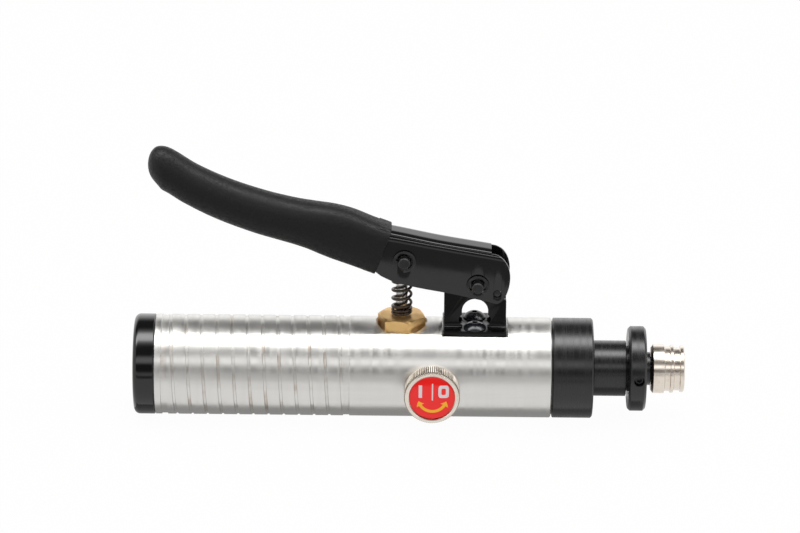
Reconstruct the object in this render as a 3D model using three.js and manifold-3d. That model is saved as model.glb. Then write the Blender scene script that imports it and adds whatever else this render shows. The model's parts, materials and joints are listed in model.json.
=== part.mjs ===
// A hand-lever hydraulic ram tool, in millimetres, +Z up.
// The body's axis is X: the origin is the centre of the rear cap's flat end face, the ram leaves
// the front along +X, the pump lever stands above the body and the release knob faces -Y.
import * as THREE from "three";
import { mergeVertices } from "three/addons/utils/BufferGeometryUtils.js";
import Module from "manifold-3d";

const wasm = await Module();
wasm.setup();

// ---- Driving dimensions -------------------------------------------------------------------------
const CLEAR = 0.3; // gap between a piece and what it seats on or runs in

// Cylinder body: reservoir bore, solid valve block, ram bore
const BODY_RADIUS = 25;
const RESERVOIR_LENGTH = 109.2;
const BLOCK_LENGTH = 60;
const RAM_BORE_LENGTH = 28;
const RESERVOIR_RADIUS = 21;
const RAM_BORE_RADIUS = 16;
const BODY_CHAMFER = 0.6;
const GROOVE_DEPTH = 0.5;
const RING_GROOVE_WIDTH = 3.2;
const GRIP_ZONE_INSET = 3.1;
const GRIP_ZONE_LENGTH = 93.7;

// Rear cap, bladder and what closes them
const CAP_LENGTH = 10.3;
const CAP_PROUD = 0.1;
const CAP_EDGE_RADIUS = 3;
const CAP_SPIGOT_LENGTH = 11.5;
const CAP_SPIGOT_WALL = 4.2;
const BLADDER_WALL = 1.8;
const BLADDER_PLUG_LENGTH = 9;
const FILLER_SCREW_RADIUS = 4;
const CAP_SEAL_WIDTH = 2.6;
const CAP_SEAL_DEPTH = 2;

// Seats milled in the top of the valve block
const FLAT_DEPTH = 3.4;
const SPOTFACE_RADIUS = 13.2;

// Pump: gland nut, plunger, return spring
const PUMP_INSET = 13.3;
const PLUNGER_RADIUS = 3;
const NUT_FLATS = 21;
const NUT_COLLAR_HEIGHT = 0.9;
const NUT_HEX_HEIGHT = 6;
const NUT_TURN = THREE.MathUtils.degToRad(11.5);
const NUT_THREAD_RADIUS = 8;
const NUT_THREAD_LENGTH = 12;
const GLAND_SEAL_HEIGHT = 2.4;
const PLUNGER_BELOW_SEAL = 3;
const PUMP_SPRING_RADIUS = 5;
const PUMP_SPRING_WIRE = 1.15;
const PUMP_SPRING_TURNS = 8;
const HEAD_LENGTH = 15;
const HEAD_BELOW_PIN = 6.5;
const HEAD_ABOVE_PIN = 6.3;

// Check valves
const BALL_RADIUS = 2.5;
const PORT_RADIUS = 1.5;
const SEAT_THICKNESS = 2;
const INLET_BUSH_RADIUS = 5;
const FILTER_THICKNESS = 1;
const BALL_LIFT = 1;
const OUTLET_SPRING_LENGTH = 4.2;
const OUTLET_SPRING_WIRE = 0.6;
const OUTLET_SPRING_TURNS = 4;
const OUTLET_PLUG_RADIUS = 4;
const GALLERY_DEPTH = 14;
const GALLERY_SIDE = 2;
const RETURN_SIDE = 6;

// Lever, its pins and its bracket
const LEVER_ARM = 37.5;
const LEVER_SWING = THREE.MathUtils.degToRad(15);
const PIVOT_ABOVE_FLAT = 25.2;
const PIN_ABOVE_PIVOT = 12.9;
const PIN_LEAD = 1;
const PIN_RADIUS = 3;
const PIN_PROUD = 3.2;
const CLIP_RADIUS = 5.7;
const CLIP_THICKNESS = 0.7;
const CLIP_GROOVE_RADIUS = 2.4;
const STOP_PIN_RADIUS = 1.75;
const STOP_PIN_AHEAD = 9.8;
const STOP_PIN_BELOW = 4.1;
const STOP_PIN_RECESS = 0.4;
const CHANNEL_HALF_WIDTH = 7.4;
const CHANNEL_SHEET = 1.4;
const CHANNEL_BEND = 2.2;
const BRACKET_PLATE_LENGTH = 31.7;
const BRACKET_PLATE_HALF_WIDTH = 12.3;
const BRACKET_PLATE_THICKNESS = 2.6;
const BRACKET_BEHIND_PIVOT = 1.1;
const EAR_LENGTH = 30.8;
const EAR_THICKNESS = 2.6;
const EAR_FILLET = 1.8;
const EAR_EYE_RADIUS = 8.5;
const EAR_SHOULDER_HEIGHT = 20.4;
const WINDOW_RADIUS = 6.7;
const WINDOW_TOP = 15.2;
const WINDOW_SLOT_HALF_WIDTH = 6.2;
const WINDOW_NOTCH_RADIUS = 3;
const SCREW_SPREAD = 6.9;
const SCREW_RADIUS = 3;
const SCREW_LENGTH = 14;
const SCREW_HEAD_RADIUS = 5.6;
const SCREW_HEAD_HEIGHT = 3.2;
const SCREW_SOCKET_FLATS = 4;

// Grip over the lever's tang
const GRIP_LENGTH = 117.5;
const GRIP_MOUTH_BEHIND_PIVOT = 47;
const GRIP_HALF_WIDTH = 10.2;
const GRIP_HALF_HEIGHT = 11.2;
const GRIP_SHOULDER_HALF_HEIGHT = 13.9;
const GRIP_SHOULDER_LENGTH = 34;
const GRIP_SHOULDER_BLEND = 32;
const GRIP_END_RADIUS = 9;
const GRIP_MOUTH_LEAN = 3.4;
const GRIP_TOP_WALL = 3.2;
const GRIP_BOTTOM_WALL = 2.6;
const GRIP_TIP_WALL = 5.8;
const TANG_END_COVER = 18;
const GRIP_MOUTH_ABOVE_PIVOT = 16.5;
const GRIP_TIP_ABOVE_MOUTH = 47.2;

// Side view of the channel, from the pivot
const WEB_MIDDLE_BEHIND_PIVOT = 18.9;
const WEB_MIDDLE_ABOVE_PIVOT = 21.6;
const WEB_END_AHEAD = 6.6;
const WEB_END_ABOVE_PIVOT = 17.4;
const LEVER_REAR_AHEAD = 16;
const LEVER_REAR_ABOVE_PIVOT = 4;
const LEVER_REAR_GAP = 0.6;
const SIDE_FRONT_BEHIND_PIVOT = 31.8;
const SIDE_FRONT_BELOW_PIVOT = 1;
const SIDE_MIDDLE_BEHIND_PIVOT = 3.8;
const SIDE_MIDDLE_BELOW_PIVOT = 7;
const SIDE_REAR_AHEAD = 9.2;
const SIDE_REAR_BELOW_PIVOT = 10.3;
const SIDE_TURN_AHEAD = 11;

// Release valve and its knob
const RELEASE_AHEAD_OF_PUMP = 15.3;
const RELEASE_BALL_RADIUS = 2;
const SPINDLE_NOSE_RADIUS = 2.5;
const SPINDLE_RADIUS = 4;
const SPINDLE_NOSE_LENGTH = 3.4;
const SPINDLE_THREAD_LENGTH = 7;
const SPINDLE_SEAL_WIDTH = 2;
const GLAND_BUSH_RADIUS = 7;
const GLAND_FLANGE_RADIUS = 8.5;
const GLAND_FLANGE_THICKNESS = 2.2;
const KNOB_STANDOFF = 2;
const KNOB_RADIUS = 13.9;
const KNOB_LENGTH = 9.8;
const KNOB_TEETH = 48;
const KNOB_TOOTH_DEPTH = 0.45;
const KNOB_BEZEL_RADIUS = 12.8;
const KNOB_BEZEL_LENGTH = 1.2;
const LABEL_RADIUS = 11.4;
const LABEL_THICKNESS = 1;
const LABEL_CROWN = 0.5;
const LABEL_RECESS = 0.4;
const KNOB_SCREW_RADIUS = 1.5;
const KNOB_SCREW_HEAD_RADIUS = 2.75;

// Front head, ram and nose
const HEAD_GAP = 0.8;
const HEAD_RING_LENGTH = 19.1;
const HEAD_CHAMFER = 1.6;
const HEAD_SPIGOT_LENGTH = 8;
const NECK_RADIUS = 13.9;
const NECK_LENGTH = 17.6;
const NECK_SPIGOT_RADIUS = 11.2;
const NECK_SPIGOT_LENGTH = 6.3;
const SPRING_ROOM_RADIUS = 13;
const ROD_RADIUS = 8.3;
const PISTON_THICKNESS = 8;
const PISTON_NUT_FLATS = 15;
const PISTON_NUT_HEIGHT = 5;
const ROD_TAIL_RADIUS = 5;
const PISTON_SEAL_WIDTH = 2.6;
const PISTON_SEAL_DEPTH = 2;
const RAM_SPRING_WIRE = 2.4;
const RAM_SPRING_TURNS = 6;
const WIPER_WIDTH = 2.8;
const WIPER_WALL = 1.8;
const COLLAR_RADIUS = 21.2;
const COLLAR_LENGTH = 9.6;
const COLLAR_CHAMFER = 1.7;
const COLLAR_HOLE_RADIUS = 2.6;
const COLLAR_SCREW_RECESS = 1.7;
const NOSE_RADIUS = 12.3;
const NOSE_LENGTH = 16.6;
const NOSE_STANDOFF = 2.7;
const NOSE_STUD_RADIUS = 6;
const NOSE_STUD_LENGTH = 10;

// Facets round a full turn
const ROUND = { large: 40, medium: 28, small: 18, tiny: 12 };

// ---- Places worked out from the sizes -------------------------------------------------------------
const bodyStart = CAP_LENGTH + CLEAR + 0.2;
const blockStart = bodyStart + RESERVOIR_LENGTH;
const blockEnd = blockStart + BLOCK_LENGTH;
const bodyEnd = blockEnd + RAM_BORE_LENGTH;
const pumpX = blockStart + PUMP_INSET;
const releaseX = pumpX + RELEASE_AHEAD_OF_PUMP;
const pivotX = pumpX + LEVER_ARM;
const bracketX = pivotX - BRACKET_BEHIND_PIVOT;
const flatZ = BODY_RADIUS - FLAT_DEPTH;
const pivotZ = flatZ + PIVOT_ABOVE_FLAT;
const plateTopZ = flatZ + BRACKET_PLATE_THICKNESS;

const nutTopZ = flatZ + NUT_COLLAR_HEIGHT + NUT_HEX_HEIGHT;
const nutStemBottomZ = flatZ - NUT_THREAD_LENGTH;
const sealTopZ = nutStemBottomZ - CLEAR;
const sealBottomZ = sealTopZ - GLAND_SEAL_HEIGHT;
const plungerBottomZ = sealBottomZ - PLUNGER_BELOW_SEAL;
const pinZ = pivotZ + PIN_ABOVE_PIVOT;
const headBottomZ = pinZ - HEAD_BELOW_PIN;

const pinBehindPivot = LEVER_ARM - PIN_LEAD;
const pinArm = Math.hypot(pinBehindPivot, PIN_ABOVE_PIVOT);
const pinRestAngle = Math.atan2(PIN_ABOVE_PIVOT, pinBehindPivot);
const pumpStroke = pinArm * (Math.sin(pinRestAngle) - Math.sin(pinRestAngle - LEVER_SWING));
const pinDrift = pinArm * Math.cos(pinRestAngle - LEVER_SWING) - pinBehindPivot;
const chamberBottomZ = plungerBottomZ - pumpStroke - BALL_RADIUS;
const inletZ = chamberBottomZ + PORT_RADIUS + 0.5;

/** How far a ball's centre stands off the face of a port that it closes, with the seat's gap. */
const standOff = (ball, port) => Math.sqrt(ball * ball - port * port) + CLEAR;

const channelInner = CHANNEL_HALF_WIDTH - CHANNEL_SHEET;
const earOuter = channelInner - CLEAR;
const headHalfWidth = channelInner - 2 * CLEAR;
const clipInner = CHANNEL_HALF_WIDTH + CLEAR;
const clipOuter = clipInner + CLIP_THICKNESS;

const gripStart = -GRIP_MOUTH_BEHIND_PIVOT - GRIP_LENGTH;

// ---- Geometry helpers -----------------------------------------------------------------------------
const ALONG = {
  x: (geometry) => geometry.rotateZ(-Math.PI / 2),
  z: (geometry) => geometry.rotateX(Math.PI / 2),
  front: (geometry) => geometry.rotateX(Math.PI),
};

/** A closed solid for booleans, from any closed three.js geometry. */
function solid(geometry) {
  const loose = geometry.index ? geometry.toNonIndexed() : geometry;
  const bare = new THREE.BufferGeometry();
  bare.setAttribute("position", loose.getAttribute("position"));
  const merged = mergeVertices(bare, 1e-4);
  const index = merged.index.array;
  const triangles = [];
  for (let i = 0; i < index.length; i += 3) {
    const [a, b, c] = index.subarray(i, i + 3);
    if (a !== b && b !== c && c !== a) {
      triangles.push(a, b, c);
    }
  }
  return new wasm.Manifold(
    new wasm.Mesh({
      numProp: 3,
      vertProperties: merged.attributes.position.array,
      triVerts: new Uint32Array(triangles),
    }),
  );
}

/** The three.js geometry of a closed solid. */
function geometryOf(manifold) {
  const mesh = manifold.getMesh();
  const geometry = new THREE.BufferGeometry();
  geometry.setAttribute("position", new THREE.Float32BufferAttribute(mesh.vertProperties, 3));
  geometry.setIndex(new THREE.Uint32BufferAttribute(mesh.triVerts, 1));
  geometry.computeVertexNormals();
  return geometry;
}

/** The base with every tool cut away. */
function cut(base, tools) {
  let left = solid(base);
  for (const tool of tools) {
    left = left.subtract(solid(tool));
  }
  return geometryOf(left);
}

/** All the geometries joined into one. */
function join(pieces) {
  let whole = solid(pieces[0]);
  for (const piece of pieces.slice(1)) {
    whole = whole.add(solid(piece));
  }
  return geometryOf(whole);
}

/** What two geometries share. */
function overlapOf(one, other) {
  return geometryOf(solid(one).intersect(solid(other)));
}

/** A turned form from [radius, distance along the axis] points. */
function turned(axis, profile, round = ROUND.medium) {
  const points = profile.map(([radius, along]) => new THREE.Vector2(radius, along));
  return ALONG[axis](new THREE.LatheGeometry(points, round));
}

/** A turned ring: its profile closes on itself. */
function ring(axis, inner, outer, from, to, round = ROUND.medium) {
  const profile = [[inner, from], [outer, from], [outer, to], [inner, to], [inner, from]];
  return turned(axis, profile, round);
}

/** A plain round rod or drilling. */
function rod(axis, radius, from, to, round = ROUND.small) {
  return turned(axis, [[0, from], [radius, from], [radius, to], [0, to]], round);
}

/** A side outline in X and Z, made thick along Y. */
function slab(shape, yFrom, yTo, curveSegments = 8) {
  const options = { depth: yTo - yFrom, bevelEnabled: false, curveSegments };
  return new THREE.ExtrudeGeometry(shape, options).rotateX(Math.PI / 2).translate(0, yTo, 0);
}

/** A plan outline in X and Y, made thick along Z. */
function layer(shape, zFrom, zTo, curveSegments = 4) {
  const options = { depth: zTo - zFrom, bevelEnabled: false, curveSegments };
  return new THREE.ExtrudeGeometry(shape, options).translate(0, 0, zFrom);
}

/** A box between two corners. */
function block(low, high) {
  const size = high.map((value, i) => value - low[i]);
  const middle = high.map((value, i) => (value + low[i]) / 2);
  return new THREE.BoxGeometry(...size).translate(...middle);
}

/** A regular hexagon's outline, one flat's outward normal at the given angle. */
function hexagon(flats, normalAngle = 0) {
  const corner = flats / 2 / Math.cos(Math.PI / 6);
  const points = [];
  for (let i = 0; i < 6; i += 1) {
    const angle = normalAngle + Math.PI / 6 + (i * Math.PI) / 3;
    points.push(new THREE.Vector2(corner * Math.cos(angle), corner * Math.sin(angle)));
  }
  return new THREE.Shape(points);
}

/** Points on an arc in degrees, both ends included. */
function arc(radius, from, to, steps) {
  const points = [];
  for (let i = 0; i <= steps; i += 1) {
    const angle = THREE.MathUtils.degToRad(from + ((to - from) * i) / steps);
    points.push(new THREE.Vector2(radius * Math.cos(angle), radius * Math.sin(angle)));
  }
  return points;
}

/** A smooth function of x through [x, value] points, straight beyond its ends. */
function smooth(points) {
  const slopes = points.map((point, i) => {
    const before = points[Math.max(i - 1, 0)];
    const after = points[Math.min(i + 1, points.length - 1)];
    return (after[1] - before[1]) / (after[0] - before[0]);
  });
  return (x) => {
    const last = points.length - 1;
    if (x <= points[0][0]) {
      return points[0][1] + slopes[0] * (x - points[0][0]);
    }
    if (x >= points[last][0]) {
      return points[last][1] + slopes[last] * (x - points[last][0]);
    }
    const i = points.findIndex((point, k) => k < last && x <= points[k + 1][0]);
    const span = points[i + 1][0] - points[i][0];
    const t = (x - points[i][0]) / span;
    const ease = t * t * (3 - 2 * t);
    const pull = t * (1 - t) * span * (slopes[i] * (1 - t) - slopes[i + 1] * t);
    return points[i][1] * (1 - ease) + points[i + 1][1] * ease + pull;
  };
}

/** A section swept through stations and bent to shape: place gives [x, y, z] for (u, v, station). */
function lofted(section, stations, place) {
  const steps = stations.length - 1;
  const geometry = new THREE.ExtrudeGeometry(section, { depth: 1, steps, bevelEnabled: false });
  const position = geometry.getAttribute("position");
  for (let i = 0; i < position.count; i += 1) {
    const station = stations[Math.round(position.getZ(i) * steps)];
    position.setXYZ(i, ...place(position.getX(i), position.getY(i), station));
  }
  return geometry;
}

/** Evenly spaced numbers, both ends included. */
function spread(from, to, steps) {
  return Array.from({ length: steps + 1 }, (_, i) => from + ((to - from) * i) / steps);
}

/** A compression spring's wire line, rising from 0 to its height, with closed end coils. */
class SpringLine extends THREE.Curve {
  constructor(radius, wire, turns, height) {
    super();
    Object.assign(this, { radius, turns, height, closed: 1.25, closedPitch: wire * 1.15 });
  }

  rise(turn) {
    const { turns, closed, closedPitch, height } = this;
    const openPitch = (height - 2 * closed * closedPitch) / (turns - 2 * closed);
    if (turn < closed) {
      return turn * closedPitch;
    }
    if (turn < turns - closed) {
      return closed * closedPitch + (turn - closed) * openPitch;
    }
    return height - (turns - turn) * closedPitch;
  }

  getPoint(t) {
    const turn = t * this.turns;
    const angle = 2 * Math.PI * turn;
    const [x, y] = [this.radius * Math.cos(angle), this.radius * Math.sin(angle)];
    return new THREE.Vector3(x, y, this.rise(turn));
  }
}

/** A compression spring standing on z = from, its wire round. */
function spring(radius, wire, turns, from, to) {
  const stepsPerTurn = 10;
  const sides = 5;
  const section = new THREE.Shape(arc(wire / 2, 0, 360 - 360 / sides, sides - 1));
  const extrudePath = new SpringLine(radius, wire, turns, to - from - wire);
  const steps = Math.round(turns * stepsPerTurn);
  const geometry = new THREE.ExtrudeGeometry(section, { steps, extrudePath, bevelEnabled: false });
  return geometry.translate(0, 0, from + wire / 2);
}

// ---- Finishes and the tree --------------------------------------------------------------------------
const FINISHES = {
  turnedSteel: { color: 0xc9c8c4, roughness: 0.3, metalness: 1 },
  groundSteel: { color: 0xb4b4b2, roughness: 0.25, metalness: 1 },
  springSteel: { color: 0x4a4743, roughness: 0.35, metalness: 1 },
  nickel: { color: 0xc2b8a6, roughness: 0.2, metalness: 1 },
  brass: { color: 0xc8903c, roughness: 0.35, metalness: 1 },
  blackOxide: { color: 0x1b1b1b, roughness: 0.45, metalness: 0.6 },
  blackPaint: { color: 0x141414, roughness: 0.25, metalness: 0 },
  blackPlastic: { color: 0x0f0f10, roughness: 0.3, metalness: 0 },
  blackFoam: { color: 0x1c1c1c, roughness: 0.85, metalness: 0 },
  rubber: { color: 0x202020, roughness: 0.8, metalness: 0 },
  redLabel: { color: 0xb01c14, roughness: 0.2, metalness: 0 },
  filterMesh: { color: 0x9c9078, roughness: 0.6, metalness: 0.7 },
};

const tool = new THREE.Group();

/** A nested group with its own origin. */
function groupAt(x, y, z) {
  const group = new THREE.Group();
  group.position.set(x, y, z);
  tool.add(group);
  return group;
}

const rear = groupAt(0, 0, 0);
const pump = groupAt(pumpX, 0, 0);
const lever = groupAt(pivotX, 0, pivotZ);
const release = groupAt(releaseX, 0, 0);
const front = groupAt(blockEnd, 0, 0);

/** Adds one named piece to its group. */
function piece(group, name, geometry, finish) {
  const mesh = new THREE.Mesh(geometry, new THREE.MeshStandardMaterial(FINISHES[finish]));
  mesh.name = name;
  group.add(mesh);
  return mesh;
}

// ---- Cylinder body ------------------------------------------------------------------------------------
const inletCounterboreEnd = blockStart + CLEAR + FILTER_THICKNESS + CLEAR + 4.8 + CLEAR;
const inletBushStart = blockStart + 2 * CLEAR + FILTER_THICKNESS;
const inletBushEnd = inletCounterboreEnd - CLEAR;
const inletBallX = inletBushStart + SEAT_THICKNESS + standOff(BALL_RADIUS, PORT_RADIUS);
const inletPocketEnd = inletBallX + BALL_RADIUS + BALL_LIFT + CLEAR;

const outletSeatZ = chamberBottomZ - SEAT_THICKNESS;
const outletBallZ = outletSeatZ - standOff(BALL_RADIUS, PORT_RADIUS);
const outletSpringTopZ = outletBallZ - BALL_RADIUS - CLEAR;
const outletPlugTopZ = outletSpringTopZ - OUTLET_SPRING_LENGTH - CLEAR;
const outletPlugBottomZ = 1 - BODY_RADIUS;

const releaseBallY = standOff(RELEASE_BALL_RADIUS, PORT_RADIUS);
const spindleTipY = releaseBallY + RELEASE_BALL_RADIUS + CLEAR;
const spindleStepY = spindleTipY + SPINDLE_NOSE_LENGTH;
const threadEndY = spindleStepY + SPINDLE_THREAD_LENGTH;
const glandStartY = threadEndY + SPINDLE_SEAL_WIDTH + 2 * CLEAR;
const glandFlangeY = BODY_RADIUS + CLEAR;
const glandEndY = glandFlangeY + GLAND_FLANGE_THICKNESS;
const knobStartY = glandEndY + CLEAR + KNOB_STANDOFF;
const knobEndY = knobStartY + KNOB_LENGTH;

const nutPocketDepth = PISTON_NUT_HEIGHT + 3;
const nutPocketRadius = PISTON_NUT_FLATS / 2 / Math.cos(Math.PI / 6) + CLEAR;
const screwHoleBottomZ = plateTopZ - SCREW_LENGTH - 1;

function bodyGrooves(from) {
  const floor = BODY_RADIUS - GROOVE_DEPTH;
  const to = from + RING_GROOVE_WIDTH;
  return [[BODY_RADIUS, from], [floor, from], [floor, to], [BODY_RADIUS, to]];
}

function cylinderBody() {
  const zoneStart = bodyStart + GRIP_ZONE_INSET;
  const zoneEnd = zoneStart + GRIP_ZONE_LENGTH;
  const blank = turned("x", [
    [0, blockStart],
    [RESERVOIR_RADIUS, blockStart],
    [RESERVOIR_RADIUS, bodyStart],
    [BODY_RADIUS - BODY_CHAMFER, bodyStart],
    [BODY_RADIUS, bodyStart + BODY_CHAMFER],
    ...bodyGrooves(zoneStart),
    ...bodyGrooves(zoneEnd - RING_GROOVE_WIDTH),
    [BODY_RADIUS, bodyEnd - BODY_CHAMFER],
    [BODY_RADIUS - BODY_CHAMFER, bodyEnd],
    [RAM_BORE_RADIUS, bodyEnd],
    [RAM_BORE_RADIUS, blockEnd],
    [0, blockEnd],
  ], ROUND.large);
  const above = BODY_RADIUS + 5;
  const flatEnd = bracketX + BRACKET_PLATE_LENGTH / 2 + 0.6;
  const holes = [
    block([pumpX, -above, flatZ], [flatEnd, above, above]),
    rod("z", SPOTFACE_RADIUS, flatZ, above, ROUND.large).translate(pumpX, 0, 0),
    rod("z", NUT_THREAD_RADIUS + CLEAR, sealBottomZ - CLEAR, above).translate(pumpX, 0, 0),
    rod("z", PLUNGER_RADIUS + CLEAR, chamberBottomZ, above).translate(pumpX, 0, 0),
    rod("z", PORT_RADIUS, outletSeatZ - 1, chamberBottomZ + 1, ROUND.tiny).translate(pumpX, 0, 0),
    rod("z", BALL_RADIUS + CLEAR, outletPlugTopZ - 1, outletSeatZ).translate(pumpX, 0, 0),
    rod("z", OUTLET_PLUG_RADIUS + CLEAR, -above, outletPlugTopZ + CLEAR).translate(pumpX, 0, 0),
    rod("x", INLET_BUSH_RADIUS + CLEAR, blockStart - 1, inletCounterboreEnd)
      .translate(0, 0, inletZ),
    rod("x", BALL_RADIUS + CLEAR, inletCounterboreEnd - 1, inletPocketEnd).translate(0, 0, inletZ),
    rod("x", PORT_RADIUS, inletPocketEnd - 1, pumpX, ROUND.tiny).translate(0, 0, inletZ),
    rod("x", PORT_RADIUS, pumpX, blockEnd + 1, ROUND.tiny)
      .translate(0, GALLERY_SIDE, -GALLERY_DEPTH),
    rod("z", PORT_RADIUS, -GALLERY_DEPTH, 0, ROUND.tiny).translate(releaseX, GALLERY_SIDE, 0),
    rod("front", PORT_RADIUS, -GALLERY_SIDE - PORT_RADIUS, 1, ROUND.tiny).translate(releaseX, 0, 0),
    rod("front", SPINDLE_NOSE_RADIUS + CLEAR, 0, above).translate(releaseX, 0, 0),
    rod("front", SPINDLE_RADIUS + CLEAR, spindleStepY - CLEAR, above).translate(releaseX, 0, 0),
    rod("front", GLAND_BUSH_RADIUS + CLEAR, threadEndY, above).translate(releaseX, 0, 0),
    rod("x", PORT_RADIUS, blockStart - 1, releaseX, ROUND.tiny).translate(0, -RETURN_SIDE, 0),
    rod("x", nutPocketRadius, blockEnd - nutPocketDepth, blockEnd + 1),
  ];
  for (const side of [-1, 1]) {
    holes.push(
      rod("z", SCREW_RADIUS + CLEAR, screwHoleBottomZ, above)
        .translate(bracketX, side * SCREW_SPREAD, 0),
    );
  }
  return cut(blank, holes);
}

piece(tool, "cylinder_body", cylinderBody(), "turnedSteel");

// ---- Rear cap, its seal, the oil bladder and its plug ---------------------------------------------------
const capRadius = BODY_RADIUS + CAP_PROUD;
const spigotRadius = RESERVOIR_RADIUS - CLEAR;
const spigotEnd = CAP_LENGTH + CAP_SPIGOT_LENGTH;
const capSealFrom = spigotEnd - 2 * CAP_SEAL_WIDTH - CLEAR;
const capSealTo = capSealFrom + CAP_SEAL_WIDTH + 2 * CLEAR;
const capSealFloor = spigotRadius - CAP_SEAL_DEPTH - CLEAR;
const capWallThickness = 5;

function rearCap() {
  const edge = spread(0, Math.PI / 2, 4).map((angle) => [
    capRadius - CAP_EDGE_RADIUS + CAP_EDGE_RADIUS * Math.sin(angle),
    CAP_EDGE_RADIUS - CAP_EDGE_RADIUS * Math.cos(angle),
  ]);
  return turned("x", [
    [0, 0],
    ...edge,
    [capRadius, CAP_LENGTH],
    [spigotRadius, CAP_LENGTH],
    [spigotRadius, capSealFrom],
    [capSealFloor, capSealFrom],
    [capSealFloor, capSealTo],
    [spigotRadius, capSealTo],
    [spigotRadius, spigotEnd],
    [spigotRadius - CAP_SPIGOT_WALL, spigotEnd],
    [spigotRadius - CAP_SPIGOT_WALL, capWallThickness],
    [0, capWallThickness],
  ], ROUND.large);
}

const capSealInner = capSealFloor + CLEAR;
const capSeal = ring("x", capSealInner, capSealInner + CAP_SEAL_DEPTH, capSealFrom + CLEAR,
  capSealTo - CLEAR, ROUND.large);

const bladderStart = spigotEnd + CLEAR;
const bladderEnd = blockStart - 5;
const bladderOuter = RESERVOIR_RADIUS - CLEAR;
const bladderInner = bladderOuter - BLADDER_WALL;

function oilBladder() {
  return turned("x", [
    [0, bladderEnd - BLADDER_WALL],
    [bladderInner, bladderEnd - BLADDER_WALL],
    [bladderInner, bladderStart],
    [bladderOuter, bladderStart],
    [bladderOuter, bladderEnd - 3],
    [bladderOuter - 3, bladderEnd],
    [0, bladderEnd],
  ]);
}

const plugRadius = bladderInner - CLEAR;
const plugEnd = bladderStart + BLADDER_PLUG_LENGTH;
const bladderPlug = ring("x", FILLER_SCREW_RADIUS + CLEAR, plugRadius, bladderStart, plugEnd);

function fillerScrew() {
  const headRadius = FILLER_SCREW_RADIUS * 1.7;
  const headStart = bladderStart - CLEAR - 3;
  return cut(turned("x", [
    [0, headStart],
    [headRadius, headStart],
    [headRadius, bladderStart - CLEAR],
    [FILLER_SCREW_RADIUS, bladderStart - CLEAR],
    [FILLER_SCREW_RADIUS, plugEnd],
    [0, plugEnd],
  ], ROUND.small), [
    block([headStart - 1, -headRadius - 1, -0.6], [headStart + 1.2, headRadius + 1, 0.6]),
  ]);
}

piece(rear, "rear_cap", rearCap(), "blackPlastic");
piece(rear, "rear_cap_seal", capSeal, "rubber");
piece(rear, "oil_bladder", oilBladder(), "rubber");
piece(rear, "bladder_plug", bladderPlug, "blackPlastic");
piece(rear, "filler_screw", fillerScrew(), "groundSteel");

// ---- Suction and pressure valves -------------------------------------------------------------------------
function inletBush() {
  const ballRoom = BALL_RADIUS + CLEAR;
  return turned("x", [
    [PORT_RADIUS, inletBushStart],
    [INLET_BUSH_RADIUS, inletBushStart],
    [INLET_BUSH_RADIUS, inletBushEnd],
    [ballRoom, inletBushEnd],
    [ballRoom, inletBushStart + SEAT_THICKNESS],
    [PORT_RADIUS, inletBushStart + SEAT_THICKNESS],
    [PORT_RADIUS, inletBushStart],
  ], ROUND.small).translate(0, 0, inletZ);
}

function suctionFilter() {
  const from = blockStart + CLEAR;
  const disc = rod("x", INLET_BUSH_RADIUS, from, from + FILTER_THICKNESS).translate(0, 0, inletZ);
  const holes = [];
  for (let i = 0; i < 6; i += 1) {
    const angle = (i * Math.PI) / 3;
    const [y, z] = [2.9 * Math.cos(angle), 2.9 * Math.sin(angle)];
    holes.push(rod("x", 0.8, from - 1, from + FILTER_THICKNESS + 1, 8).translate(0, y, inletZ + z));
  }
  return cut(disc, holes);
}

/** A valve ball. */
function ball(radius) {
  return new THREE.SphereGeometry(radius, 14, 10);
}

const outletSpring = spring(BALL_RADIUS - OUTLET_SPRING_WIRE, OUTLET_SPRING_WIRE,
  OUTLET_SPRING_TURNS, outletSpringTopZ - OUTLET_SPRING_LENGTH, outletSpringTopZ);

function outletPlug() {
  const socket = layer(hexagon(SCREW_SOCKET_FLATS), outletPlugBottomZ - 1, outletPlugBottomZ + 2);
  const top = outletPlugTopZ;
  return cut(rod("z", OUTLET_PLUG_RADIUS, outletPlugBottomZ, top), [socket]);
}

piece(tool, "inlet_valve_bush", inletBush(), "groundSteel");
piece(tool, "suction_filter", suctionFilter(), "filterMesh");
piece(tool, "inlet_ball", ball(BALL_RADIUS).translate(inletBallX, 0, inletZ), "groundSteel");
piece(pump, "outlet_ball", ball(BALL_RADIUS).translate(0, 0, outletBallZ), "groundSteel");
piece(pump, "outlet_spring", outletSpring, "springSteel");
piece(pump, "outlet_plug", outletPlug(), "blackOxide");

// ---- Pump: gland nut, seal, plunger and return spring -------------------------------------------------------
function glandNut() {
  const facing = -Math.PI / 2 - NUT_TURN;
  const hexBottom = flatZ + NUT_COLLAR_HEIGHT;
  const corner = NUT_FLATS / 2 / Math.cos(Math.PI / 6);
  const hex = overlapOf(
    layer(hexagon(NUT_FLATS, facing), hexBottom, nutTopZ),
    turned("z", [
      [0, hexBottom - 1],
      [corner + 1, hexBottom - 1],
      [corner + 1, nutTopZ - 1.9],
      [NUT_FLATS / 2 - 0.6, nutTopZ],
      [0, nutTopZ],
    ], ROUND.medium),
  );
  const stem = turned("z", [
    [0, nutStemBottomZ],
    [NUT_THREAD_RADIUS, nutStemBottomZ],
    [NUT_THREAD_RADIUS, flatZ],
    [NUT_FLATS / 2 - 0.4, flatZ],
    [NUT_FLATS / 2 - 0.4, hexBottom + 1],
    [0, hexBottom + 1],
  ]);
  const bore = rod("z", PLUNGER_RADIUS + CLEAR, nutStemBottomZ - 1, nutTopZ + 1);
  return cut(join([hex, stem]), [bore]);
}

const glandSeal = ring("z", PLUNGER_RADIUS + CLEAR, NUT_THREAD_RADIUS, sealBottomZ, sealTopZ,
  ROUND.small);

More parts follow.
